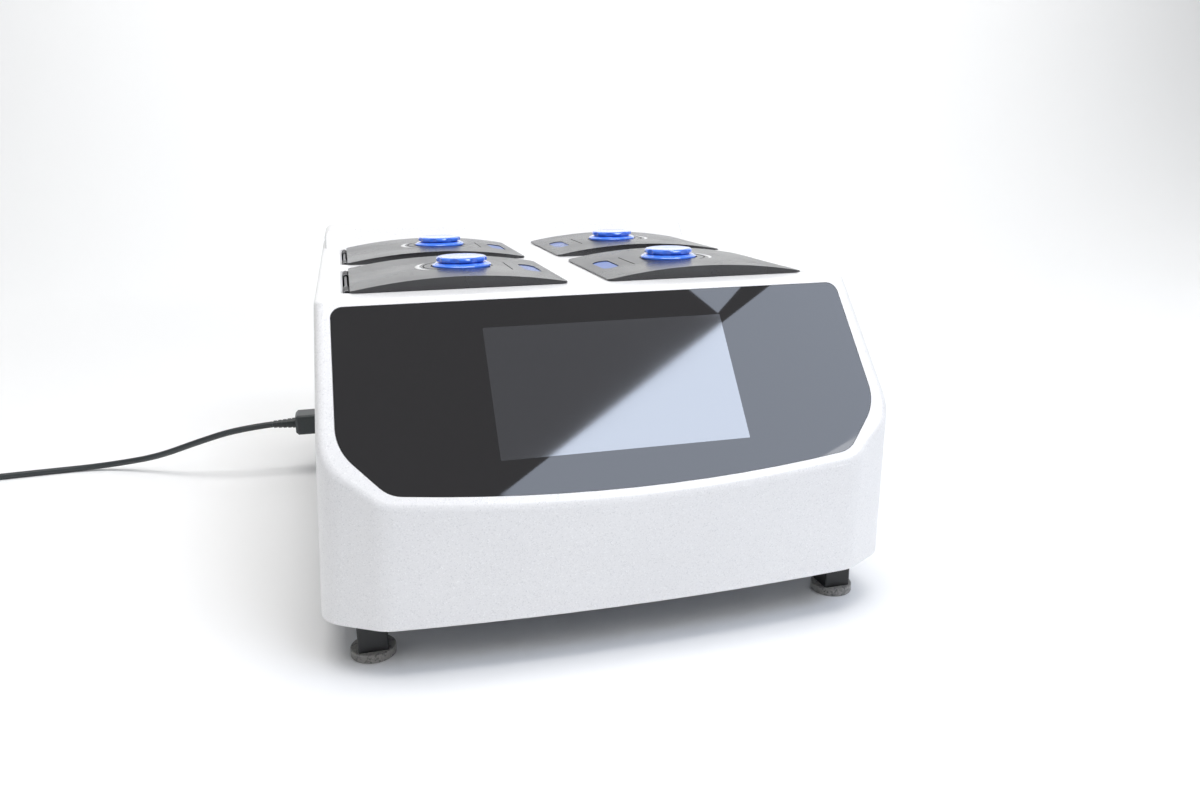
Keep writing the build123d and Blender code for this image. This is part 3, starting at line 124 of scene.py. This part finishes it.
SPLINE_STEPS = 8


def smooth(share):
    share = min(1.0, max(0.0, share))
    return share * share * (3 - 2 * share)


def coil_points():
    """Lower layer wound inward, upper layer wound back out."""
    points = []
    back = COIL_RISE + COIL_REST
    for step in range(1, round(COIL_TURNS * COIL_POINTS)):
        turn = step / COIL_POINTS
        angle = pi / 2 + 2 * pi * turn
        if turn < COIL_RISE:
            radius = COIL_OUTER + (COIL_INNER - COIL_OUTER) * turn / COIL_RISE
        elif turn < back:
            radius = COIL_INNER
        else:
            radius = COIL_INNER + (COIL_OUTER - COIL_INNER) * (turn - back) / (COIL_TURNS - back)
        rise = smooth((turn - COIL_RISE + RISE_EARLY) / RISE_LENGTH)
        radius /= cos(pi / COIL_POINTS)     # the spline runs inside its points
        x = COIL_CENTRE[0] + radius * cos(angle)
        y = COIL_CENTRE[1] + radius * sin(angle)
        points.append((x, y, COIL_LOW + (COIL_HIGH - COIL_LOW) * rise))
    return points


def spline_piece(name, points, radius):
    """Round cord along a smooth line near the points."""
    data = bpy.data.curves.new(name, "CURVE")
    data.dimensions = "3D"
    data.bevel_depth = 1.0      # times each point's radius
    data.bevel_resolution = SPLINE_ROUNDNESS
    data.resolution_u = SPLINE_STEPS
    data.use_fill_caps = True
    spline = data.splines.new("NURBS")
    spline.points.add(len(points) - 1)
    for point, place in zip(spline.points, points):
        point.co = (*place, 1)
        point.radius = radius
    spline.order_u = 3
    spline.use_endpoint_u = True
    piece = bpy.data.objects.new(name, data)
    bpy.context.scene.collection.objects.link(piece)
    return piece


lead = spline_piece("mains_lead", CORD_ROUTE + coil_points() + TAIL_ROUTE, CORD_RADIUS)
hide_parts("power_cord", "power_cord_coil", "power_cord_tail")
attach(lead, "housing")


# Materials

MIX_COLORS = slice(6, 8)    # colour inputs of Blender's Mix node
MIX_COLOR_OUT = 2
NOISE_LOW, NOISE_HIGH = 0.3, 0.7    # span that a noise mostly fills


class Material:
    """A Principled material and short calls for its nodes."""

    def __init__(self, name, color, roughness, metallic=0.0, **sockets):
        self.material = bpy.data.materials.new(name)
        self.material.use_nodes = True
        self.tree = self.material.node_tree
        self.shader = self.tree.nodes["Principled BSDF"]
        self.color = color
        self.set("Base Color", (*color, 1))
        self.set("Roughness", roughness)
        self.set("Metallic", metallic)
        for socket, value in sockets.items():
            self.set(socket.replace("_", " "), value)
        self.coordinates = self.node("ShaderNodeTexCoord").outputs["Object"]

    def set(self, socket, value):
        self.shader.inputs[socket].default_value = value

    def node(self, kind, **inputs):
        made = self.tree.nodes.new(kind)
        for key, value in inputs.items():
            self.feed(made.inputs[key.replace("_", " ")], value)
        return made

    def feed(self, socket, value):
        if isinstance(value, bpy.types.NodeSocket):
            self.tree.links.new(value, socket)
        else:
            socket.default_value = value

    def math(self, operation, first, second):
        made = self.tree.nodes.new("ShaderNodeMath")
        made.operation = operation
        for socket, value in zip(made.inputs, (first, second)):
            self.feed(socket, value)
        return made.outputs[0]

    def noise(self, scale, detail=3.0, roughness=0.5, stretch=None):
        vector = self.coordinates
        if stretch:
            vector = self.node("ShaderNodeMapping", Vector=vector, Scale=stretch).outputs[0]
        made = self.node(
            "ShaderNodeTexNoise", Vector=vector, Scale=scale, Detail=detail, Roughness=roughness,
        )
        return made.outputs["Fac"]

    def cells(self, scale):
        """Distance from the middle of random cells."""
        made = self.node("ShaderNodeTexVoronoi", Vector=self.coordinates, Scale=scale)
        return made.outputs["Distance"]

    def grains(self, scale):
        """A grey of its own for each of many random cells."""
        made = self.node("ShaderNodeTexVoronoi", Vector=self.coordinates, Scale=scale)
        return self.node("ShaderNodeRGBToBW", Color=made.outputs["Color"]).outputs[0]

    def spread(self, value, low, high, to_low=0.0, to_high=1.0):
        """The span from low to high, stretched over another and held within it."""
        made = self.tree.nodes.new("ShaderNodeMapRange")
        for socket, number in zip(made.inputs, (value, low, high, to_low, to_high)):
            self.feed(socket, number)
        return made.outputs[0]

    def shade(self, factor, other, base=None):
        """The colour, or a shaded one, moves towards another by a factor."""
        made = self.tree.nodes.new("ShaderNodeMix")
        made.data_type = "RGBA"
        self.feed(made.inputs[0], factor)
        for socket, value in zip(made.inputs[MIX_COLORS], (base or self.color, other)):
            self.feed(socket, (*value, 1) if isinstance(value, tuple) else value)
        self.feed(self.shader.inputs["Base Color"], made.outputs[MIX_COLOR_OUT])
        return made.outputs[MIX_COLOR_OUT]

    def vary_roughness(self, factor, low, high, start=NOISE_LOW, end=NOISE_HIGH):
        self.feed(self.shader.inputs["Roughness"], self.spread(factor, start, end, low, high))

    def bump(self, height, distance, strength):
        made = self.node("ShaderNodeBump", Height=height, Distance=distance, Strength=strength)
        self.feed(self.shader.inputs["Normal"], made.outputs[0])


def pearl_paint(name, color, dark, light):
    """Pale paint with a fine pearl grain."""
    made = Material(name, color, 0.36, Coat_Weight=0.12, Coat_Roughness=0.25)
    grain = made.grains(scale=1500.0)
    cloud = made.noise(scale=6.0, detail=2.0)
    base = made.shade(made.spread(grain, 0.30, 0.05), dark)
    base = made.shade(made.spread(grain, 0.75, 0.95), light, base)
    made.shade(made.spread(cloud, NOISE_LOW, NOISE_HIGH, to_high=0.25), dark, base)
    made.vary_roughness(grain, 0.30, 0.44)
    made.bump(made.noise(scale=1100.0, detail=2.0), distance=0.00004, strength=0.5)
    return made.material


def moulded(name, color, roughness, grain=1600.0, depth=0.00004, lift=1.35, **sockets):
    """Moulded plastic with a fine etched grain, clouded towards a lighter tone."""
    made = Material(name, color, roughness, **sockets)
    cloud = made.noise(scale=14.0, detail=4.0)
    light = tuple(min(1.0, part * lift) for part in color)
    made.shade(made.spread(cloud, 0.35, 0.7, to_high=0.6), light)
    made.vary_roughness(cloud, roughness - 0.04, roughness + 0.06)
    made.bump(made.noise(grain, detail=2.0), depth, strength=0.6)
    return made.material


EVEN = (1.0, 1.0, 1.0)
DRAWN = (1.0, 0.08, 1.0)
MILLED = (0.15, 8.0, 1.0)


def metal(name, color, roughness, stretch, scale):
    """Metal with fine drawn or machined lines."""
    made = Material(name, color, roughness, metallic=1.0)
    lines = made.noise(scale, roughness=0.6, stretch=stretch)
    cloud = made.noise(scale=20.0)
    dark = tuple(part * 0.78 for part in color)
    base = made.shade(made.spread(lines, 0.35, 0.65, to_high=0.5), dark)
    made.shade(made.spread(cloud, 0.4, 0.7, to_high=0.3), dark, base)
    made.vary_roughness(lines, roughness - 0.05, roughness + 0.10)
    made.bump(lines, distance=0.00002, strength=0.5)
    return made.material


def glass_material():
    """Glass over a black print, with faint smudges."""
    made = Material("black_backed_glass", (0.023, 0.022, 0.023), 0.035, IOR=1.5)
    smudge = made.noise(scale=9.0, detail=5.0, roughness=0.6)
    made.vary_roughness(smudge, 0.02, 0.10, start=0.52, end=0.72)
    return made.material


def screen_material():
    """Dark display film with the fine grain of its dots."""
    made = Material("screen_film", (0.024, 0.024, 0.028), 0.10, IOR=2.13)
    dots = made.noise(scale=2600.0, detail=1.0)
    made.shade(made.spread(dots, NOISE_LOW, NOISE_HIGH, to_high=0.4), (0.042, 0.043, 0.050))
    made.vary_roughness(made.noise(scale=7.0), 0.04, 0.07)
    return made.material


def felt_material():
    """Pressed grey fibre with dark and pale flecks."""
    made = Material("grey_felt", (0.30, 0.29, 0.275), 0.95, Sheen_Weight=0.4, Sheen_Roughness=0.5)
    fibre = made.noise(scale=900.0, detail=6.0, roughness=0.75)
    fleck = made.grains(scale=700.0)
    base = made.shade(made.spread(fleck, 0.5, 0.9, to_high=0.9), (0.10, 0.10, 0.10))
    made.shade(made.spread(fibre, 0.55, 0.75, to_high=0.7), (0.55, 0.54, 0.51), base)
    made.bump(fibre, distance=0.0004, strength=0.8)
    return made.material


def strap_material():
    made = Material("woven_strap", (0.016, 0.016, 0.017), 0.8, Sheen_Weight=0.3)
    weave = made.noise(scale=1400.0, roughness=0.7, stretch=(1.0, 1.0, 0.4))
    made.shade(made.spread(weave, 0.4, 0.7, to_high=0.8), (0.045, 0.045, 0.048))
    made.bump(weave, distance=0.0003, strength=0.8)
    return made.material


def board_material():
    """Green circuit board with fine tracks."""
    made = Material("circuit_board", (0.010, 0.085, 0.040), 0.35)
    tracks = made.cells(scale=420.0)
    made.shade(made.spread(tracks, 0.10, 0.04), (0.30, 0.26, 0.10))
    made.bump(tracks, distance=0.00005, strength=0.4)
    return made.material


def painted_mark_material(name, color, roughness, **sockets):
    """Thin flat colour for the lids' painted highlight and painted shade, a little darker in places.
    """
    made = Material(name, color, roughness, **sockets)
    patchy = made.spread(made.noise(scale=1500.0, detail=2.0), 0.35, 0.7, to_high=0.35)
    made.shade(patchy, tuple(part * 0.8 for part in color))
    return made.material


HOUSING = pearl_paint(
    "pearl_housing", (0.83, 0.825, 0.83), dark=(0.69, 0.69, 0.70), light=(0.94, 0.94, 0.945),
)
LID = moulded("lid_satin", (0.016, 0.016, 0.018), 0.26, grain=1900.0, depth=0.00002, IOR=1.8)
LID_UNDER = moulded("lid_frame_black", (0.022, 0.022, 0.024), 0.5)
BLUE = moulded(
    "knob_blue", (0.062, 0.220, 1.0), 0.15, grain=700.0, depth=0.000002, lift=1.2,
    Coat_Weight=1.0, Coat_Roughness=0.04,
)
BUTTON_BLUE = moulded(
    "button_blue", (0.006, 0.075, 0.36), 0.26, grain=700.0, depth=0.000004, lift=1.2, IOR=1.8,
)
BLACK = moulded("black_plastic", (0.018, 0.018, 0.019), 0.48)
CORD = moulded("cord_sheath", (0.030, 0.036, 0.038), 0.42, grain=900.0, depth=0.00003)
FOOT = moulded("foot_black", (0.010, 0.010, 0.011), 0.35, grain=2200.0)
ALUMINIUM = metal("machined_aluminium", (0.72, 0.73, 0.75), 0.30, MILLED, scale=260.0)
ANODISED = metal("anodised_block", (0.62, 0.64, 0.66), 0.38, EVEN, scale=1500.0)
HINGE_BLACK = metal("hinge_black_oxide", (0.10, 0.10, 0.11), 0.30, DRAWN, scale=700.0)
STEEL = metal("plain_steel", (0.55, 0.55, 0.57), 0.34, DRAWN, scale=700.0)
GALVANISED = metal("zinc_sheet", (0.50, 0.51, 0.53), 0.42, EVEN, scale=120.0)
CERAMIC = moulded("ceramic_tile", (0.78, 0.78, 0.76), 0.55, grain=1200.0)
PANEL = moulded("grey_powder_coat", (0.34, 0.35, 0.37), 0.5, grain=1300.0, depth=0.00008)
GLASS = glass_material()
SCREEN = screen_material()
FELT = felt_material()
BOARD = board_material()
STRAP = strap_material()
# The crescent is a painted highlight: white that stands for light along the lid's engraved curve
# round the knob.
PAINTED_HIGHLIGHT = painted_mark_material("painted_highlight_white", (0.80, 0.80, 0.80), 0.45)
# The fine lines are painted shade: black without reflection that stands for the shade inside the
# lid's engraved grooves.
PAINTED_GROOVE_SHADE = painted_mark_material("painted_groove_shade", (0.008, 0.008, 0.009), 0.9, Specular_IOR_Level=0.0)

# Material of every CAD node
FINISH = {
    "housing_shell": HOUSING, "rear_hood": HOUSING, "base_plate": PANEL,
    "rear_panel": PANEL, "housing_screws": STEEL, "chassis_frame": GALVANISED,
    "power_supplies": ALUMINIUM, "display_glass": GLASS, "display_module": SCREEN,
    "display_bracket": GALVANISED, "control_board": BOARD, "bay_trays": LID_UNDER,
    "heat_sinks": ALUMINIUM, "thermoelectric_modules": CERAMIC, "hinge_brackets": HINGE_BLACK,
    "hinge_pins": HINGE_BLACK, "latch_keepers": STEEL, "fan_frames": BLACK,
    "fan_guards": STEEL, "fan_rotor_left": BLACK, "fan_rotor_right": BLACK,
    "foot_posts": FOOT, "foot_pads": FELT, "mains_inlet": BLACK,
    "switch_frame": BLACK, "power_switch": BLACK, "appliance_plug": CORD,
    "plug_strain_relief": CORD, "mains_plug": CORD, "power_cord": CORD,
    "power_cord_coil": CORD, "power_cord_tail": CORD,
}
for bay in BAYS:
    FINISH["sample_block_" + bay] = ANODISED
    FINISH["lid_cover_" + bay] = LID
    FINISH["lid_frame_" + bay] = LID_UNDER
    FINISH["heated_platen_" + bay] = ALUMINIUM
    FINISH["pressure_knob_" + bay] = BLUE
    FINISH["latch_button_" + bay] = BUTTON_BLUE
    FINISH["latch_hook_" + bay] = STEEL
for name, node in nodes.items():
    for place in node.material_slots:
        place.material = FINISH[name]
lead.data.materials.append(CORD)


# Mesh pieces


def mesh_piece(name, points, faces, material, body, flat=False):
    """Closed mesh of one material that rides on a body."""
    data = bpy.data.meshes.new(name)
    data.from_pydata(points, [], faces)
    data.update()
    shape = bmesh.new()
    shape.from_mesh(data)
    bmesh.ops.recalc_face_normals(shape, faces=shape.faces)
    shape.to_mesh(data)
    shape.free()
    for polygon in data.polygons:
        polygon.use_smooth = not flat
    data.materials.append(material)
    piece = bpy.data.objects.new(name, data)
    bpy.context.scene.collection.objects.link(piece)
    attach(piece, body)
    return piece


TIE_ANGLE = radians(-50)    # place on the coil
TIE_WIDTH = 0.011
TIE_THICK = 0.0008
TIE_ROUND = 0.0045          # inner radius of its corners
TIE_STEPS = 6               # points less one in each corner


def cord_tie():
    """Strap round the wound lead, a band that follows the coil's section."""
    near, far = COIL_INNER - CORD_RADIUS, COIL_OUTER + CORD_RADIUS
    low, high = COIL_LOW - CORD_RADIUS + TIE_THICK, COIL_HIGH + CORD_RADIUS
    out = Vector((cos(TIE_ANGLE), sin(TIE_ANGLE), 0))
    along = Vector((-sin(TIE_ANGLE), cos(TIE_ANGLE), 0)) * TIE_WIDTH / 2
    middle = Vector((*COIL_CENTRE, 0))
    points = []
    corners = ((far, high, 0), (near, high, 90), (near, low, 180), (far, low, 270))
    for reach, height, start in corners:
        inward = -1 if reach == far else 1
        downward = -1 if height == high else 1
        centre = Vector((reach + inward * TIE_ROUND, height + downward * TIE_ROUND))
        for step in range(TIE_STEPS + 1):
            angle = radians(start + 90 * step / TIE_STEPS)
            for radius in (TIE_ROUND, TIE_ROUND + TIE_THICK):
                place = centre + Vector((cos(angle), sin(angle))) * radius
                spot = middle + out * place.x + Vector((0, 0, place.y))
                points += [spot - along, spot + along]
    count = len(points) // 4
    faces = []
    for index in range(count):
        a, b = 4 * index, 4 * ((index + 1) % count)
        faces += [(a, b, b + 1, a + 1), (a + 2, a + 3, b + 3, b + 2)]
        faces += [(a, a + 2, b + 2, b), (a + 1, b + 1, b + 3, a + 3)]
    return mesh_piece("cord_tie", points, faces, STRAP, "housing")


tie = cord_tie()


def face_place(x, down, proud):
    """A point on the tilted face, with its distance down from the crease."""
    y = CREASE_Y - down * sin(FACE_TILT) - proud * cos(FACE_TILT)
    z = DECK_Z - down * cos(FACE_TILT) + proud * sin(FACE_TILT)
    return (x, y, z)


FILM_CORNER = 0.0006
FILM_PROUD = 0.00002        # above the glass
FILM_BACK = 0.0006          # its back, below the tilted face
FILM_STEPS = 3              # points less one in each corner


def screen_film():
    """The display's lit area, a thin film that shows at the surface of the glass."""
    middle = (SCREEN_TOP + SCREEN_LOW) / 2
    half = (SCREEN_LOW - SCREEN_TOP) / 2
    outline = []
    for across, upward, start in ((1, 1, 0), (-1, 1, 90), (-1, -1, 180), (1, -1, 270)):
        for step in range(FILM_STEPS + 1):
            angle = radians(start + step * 90 / FILM_STEPS)
            x = across * (SCREEN_HALF - FILM_CORNER) + FILM_CORNER * cos(angle)
            down = middle - upward * (half - FILM_CORNER) - FILM_CORNER * sin(angle)
            outline.append((x, down))
    count = len(outline)
    points = [face_place(x, down, FILM_PROUD - GLASS_SUNK) for x, down in outline]
    points += [face_place(x, down, -FILM_BACK) for x, down in outline]
    faces = [tuple(range(count)), tuple(range(2 * count - 1, count - 1, -1))]
    faces += [(i, i + count, (i + 1) % count + count, (i + 1) % count) for i in range(count)]
    mesh_piece("display_film", points, faces, SCREEN, "housing", True)


screen_film()


MARK_PROUD = 0.00006        # top of a lid's mark above the lid, and its underside below
MARK_SUNK = 0.0002
MARK_POINTS = 25
CRESCENT_RADIUS = 0.0335    # of its middle line, round the knob
CRESCENT_HALF = radians(38)
CRESCENT_WIDTH = 0.0036
CRESCENT_TIP = 0.0002
CRESCENT_FULLNESS = 0.8     # power of the sine that its width follows
LINE_WIDTH = 0.0007
RING_RADIUS = 0.0290
RING_HALF = radians(50)
RING_POINTS = 31
SIDE_LINE_X = 0.0477        # straight line between the knob and the button
SIDE_LINE_HALF = 0.0225


def arch_height(x):
    """Top of a lid at a distance from the instrument's middle."""
    return LID_TOP - LID_RADIUS + sqrt(LID_RADIUS ** 2 - (x - LID_X) ** 2)


def ribbon(centre_line, widths):
    """Closed thin strip on a lid, as points and faces of a bay on the right."""
    points, faces = [], []
    count = len(centre_line)
    for index, (x, y) in enumerate(centre_line):
        before = centre_line[max(0, index - 1)]
        after = centre_line[min(count - 1, index + 1)]
        dx, dy = after[0] - before[0], after[1] - before[1]
        size = hypot(dx, dy)
        nx, ny = -dy / size, dx / size
        half = widths[index] / 2
        for side in (-1, 1):
            px, py = x + side * nx * half, y + side * ny * half
            points.append((px, py, arch_height(px) + MARK_PROUD))
            points.append((px, py, arch_height(px) - MARK_SUNK))
    for index in range(count - 1):
        a, b = 4 * index, 4 * (index + 1)
        faces += [(a, b, b + 2, a + 2), (a + 1, a + 3, b + 3, b + 1)]
        faces += [(a, a + 1, b + 1, b), (a + 2, b + 2, b + 3, a + 3)]
    last = 4 * (count - 1)
    faces += [(0, 2, 3, 1), (last, last + 1, last + 3, last + 2)]
    return points, faces


def in_bay(points, bay):
    """Points moved to a bay's row, and mirrored on the left."""
    side, row = BAYS[bay]
    return [(side * x, y + row, z) for x, y, z in points]


def arc(radius, start, end, count):
    """Points round the knob, on its outer side."""
    steps = [start + (end - start) * index / (count - 1) for index in range(count)]
    return [(KNOB_X + radius * cos(angle), radius * sin(angle)) for angle in steps]


def lid_marks(bay):
    """Painted highlight in a crescent and painted shade in fine lines, standing for the light and
    shade of the engraved marks on a lid.
    """
    body = "lid_" + bay
    shares = [index / (MARK_POINTS - 1) for index in range(MARK_POINTS)]
    line = arc(CRESCENT_RADIUS, -CRESCENT_HALF, CRESCENT_HALF, MARK_POINTS)
    swell = [CRESCENT_WIDTH * sin(pi * share) ** CRESCENT_FULLNESS for share in shares]
    widths = [max(CRESCENT_TIP, width) for width in swell]
    points, faces = ribbon(line, widths)
    # Painted highlight along the engraved curve round the knob.
    mesh_piece("lid_highlight_crescent_" + bay, in_bay(points, bay), faces, PAINTED_HIGHLIGHT, body)
    line = arc(RING_RADIUS, -RING_HALF, RING_HALF, RING_POINTS)
    points, faces = ribbon(line, [LINE_WIDTH] * len(line))
    # Painted shade in the engraved ring round the knob.
    mesh_piece("lid_ring_shade_" + bay, in_bay(points, bay), faces, PAINTED_GROOVE_SHADE, body)
    line = [(SIDE_LINE_X, SIDE_LINE_HALF * (2 * share - 1)) for share in shares]
    points, faces = ribbon(line, [LINE_WIDTH] * len(line))
    # Painted shade in the engraved line between the knob and the button.
    mesh_piece("lid_side_shade_" + bay, in_bay(points, bay), faces, PAINTED_GROOVE_SHADE, body)


for bay in BAYS:
    lid_marks(bay)


# Stage and light

STAGE_HALF = 6.0
STAGE_FRONT = (-5.0, -2.0, 0.0)     # its edge and two lines of the floor, in y
STAGE_BACK = 3.2
STAGE_HEIGHT = 5.0
SWEEP_RADIUS = 1.6
SWEEP_STEPS = 12
FLOOR_DROP = 0.0001         # below the feet, so that nothing touches it

# Glow of the backdrop, by the distance from the object
FLOOR_GLOW = 0.14
GLOW_FROM = 0.4
GLOW_TO = 1.8

# Light of the studio, by the upward part of its direction
WALL_LIGHT = 0.16
CEILING_LIGHT = 0.30
CEILING_FROM = 0.40
CEILING_TO = 0.80

# Softboxes: place, target, width, height, watts and colour
DAYLIGHT = (1.0, 1.0, 1.0)
WARM = (1.0, 0.985, 0.965)
SKY = (0.97, 0.985, 1.0)
COOL = (0.74, 0.83, 1.0)
SOFTBOXES = {
    "top_softbox": ((0.0, -0.3, 2.3), (0, -0.3, 0.0), 2.2, 1.2, 40.0, WARM),
    "back_softbox": ((1.1, 2.0, 2.4), (1.1, 3.2, 1.0), 4.6, 0.8, 40.0, DAYLIGHT),
    "front_softbox": ((1.5, -2.6, 2.5), (0, 0.0, 0.15), 1.8, 0.9, 20.0, WARM),
    "left_softbox": ((-1.9, -0.9, 1.3), (0, 0, 0.12), 1.4, 1.4, 3.0, DAYLIGHT),
}

# Two level softboxes that the display glass mirrors: corner, direction of the long edge, size
GLASS_BOX_HEIGHT = 1.5
GLASS_BOX_LIGHT = 18.0      # watts per square metre
GLASS_BOXES = {
    "glass_softbox_low": ((0.962, -0.540), (0.200, -1.150), 1.05, 0.70),
    "glass_softbox_high": ((0.651, -0.753), (0.560, -0.680), 0.24, 0.13),
}


def stage_material():
    """Pale paper that glows a little away from the object, to the camera and in mirrors."""
    made = Material("stage", (0.94, 0.945, 0.95), 0.9, Specular_IOR_Level=0.1)
    cloud = made.noise(scale=0.8, detail=2.0)
    made.shade(made.spread(cloud, NOISE_LOW, NOISE_HIGH, to_high=0.3), (0.955, 0.955, 0.96))
    path = made.node("ShaderNodeLightPath")
    seen = made.math("MAXIMUM", path.outputs["Is Camera Ray"], path.outputs["Is Glossy Ray"])
    seen = made.math("MAXIMUM", seen, path.outputs["Is Transmission Ray"])
    away = made.node("ShaderNodeVectorMath", Vector=made.coordinates)
    away.operation = "LENGTH"
    glow = made.spread(away.outputs["Value"], GLOW_FROM, GLOW_TO, to_high=FLOOR_GLOW)
    made.set("Emission Color", (*SKY, 1))
    made.feed(made.shader.inputs["Emission Strength"], made.math("MULTIPLY", seen, glow))
    return made.material


def make_stage():
    """Floor that sweeps up into a backdrop."""
    turn_y = STAGE_BACK - SWEEP_RADIUS
    profile = [(y, 0.0) for y in (*STAGE_FRONT, turn_y)]
    for step in range(1, SWEEP_STEPS + 1):
        angle = radians(90 * step / SWEEP_STEPS)
        profile.append((turn_y + SWEEP_RADIUS * sin(angle), SWEEP_RADIUS - SWEEP_RADIUS * cos(angle)))
    profile.append((STAGE_BACK, STAGE_HEIGHT))
    points = [(side * STAGE_HALF, y, z - FLOOR_DROP) for y, z in profile for side in (-1, 1)]
    faces = [(2 * i, 2 * i + 1, 2 * i + 3, 2 * i + 2) for i in range(len(profile) - 1)]
    data = bpy.data.meshes.new("stage_floor")
    data.from_pydata(points, [], faces)
    for polygon in data.polygons:
        polygon.use_smooth = True
    data.materials.append(stage_material())
    floor = bpy.data.objects.new("stage_floor", data)
    bpy.context.scene.collection.objects.link(floor)
    floor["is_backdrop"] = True


def area_light(name, place, target, width, height, power, color):
    data = bpy.data.lights.new(name, "AREA")
    data.shape = "RECTANGLE"
    data.size, data.size_y = width, height
    data.energy = power
    data.color = color
    lamp = bpy.data.objects.new(name, data)
    ahead = Vector(target) - Vector(place)
    turn = ahead.to_track_quat("-Z", "Y").to_matrix().to_4x4()
    lamp.matrix_world = Matrix.Translation(place) @ turn
    bpy.context.scene.collection.objects.link(lamp)
    return lamp


def make_world():
    """Studio walls and ceiling that light the object, white to the camera."""
    world = bpy.data.worlds.new("studio")
    world.use_nodes = True
    tree = world.node_tree
    back = tree.nodes["Background"]
    back.inputs["Color"].default_value = (*SKY, 1)
    direction = tree.nodes.new("ShaderNodeTexCoord").outputs["Generated"]
    split = tree.nodes.new("ShaderNodeSeparateXYZ")
    tree.links.new(direction, split.inputs[0])
    height = tree.nodes.new("ShaderNodeMapRange")
    tree.links.new(split.outputs["Z"], height.inputs["Value"])
    span = (CEILING_FROM, CEILING_TO, WALL_LIGHT, CEILING_LIGHT)
    for socket, value in zip(list(height.inputs)[1:5], span):
        socket.default_value = value
    path = tree.nodes.new("ShaderNodeLightPath")
    seen = tree.nodes.new("ShaderNodeMath")
    seen.operation = "MAXIMUM"
    tree.links.new(height.outputs[0], seen.inputs[0])
    tree.links.new(path.outputs["Is Camera Ray"], seen.inputs[1])
    tree.links.new(seen.outputs[0], back.inputs["Strength"])
    bpy.context.scene.world = world


def glass_softboxes():
    """Level boxes, each to the right of its long edge."""
    for name, (corner, toward, long, wide) in GLASS_BOXES.items():
        along = (Vector(toward) - Vector(corner)).normalized()
        side = Vector((-along.y, along.x))
        if side.x < 0:
            side = -side
        middle = Vector(corner) + along * long / 2 + side * wide / 2
        place = (middle.x, middle.y, GLASS_BOX_HEIGHT)
        power = GLASS_BOX_LIGHT * long * wide
        lamp = area_light(name, place, (0, 0, 0), long, wide, power, COOL)
        turn = Matrix.Rotation(atan2(along.y, along.x), 4, "Z")
        lamp.matrix_world = Matrix.Translation(place) @ turn


make_stage()
make_world()
for name, (place, target, width, height, power, color) in SOFTBOXES.items():
    area_light(name, place, target, width, height, power, color)
glass_softboxes()

bpy.context.scene.view_settings.view_transform = "Standard"

boxes = {"cad": cad_box, "visual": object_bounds()}
boxes = {key: [list(corner) for corner in box] for key, box in boxes.items()}
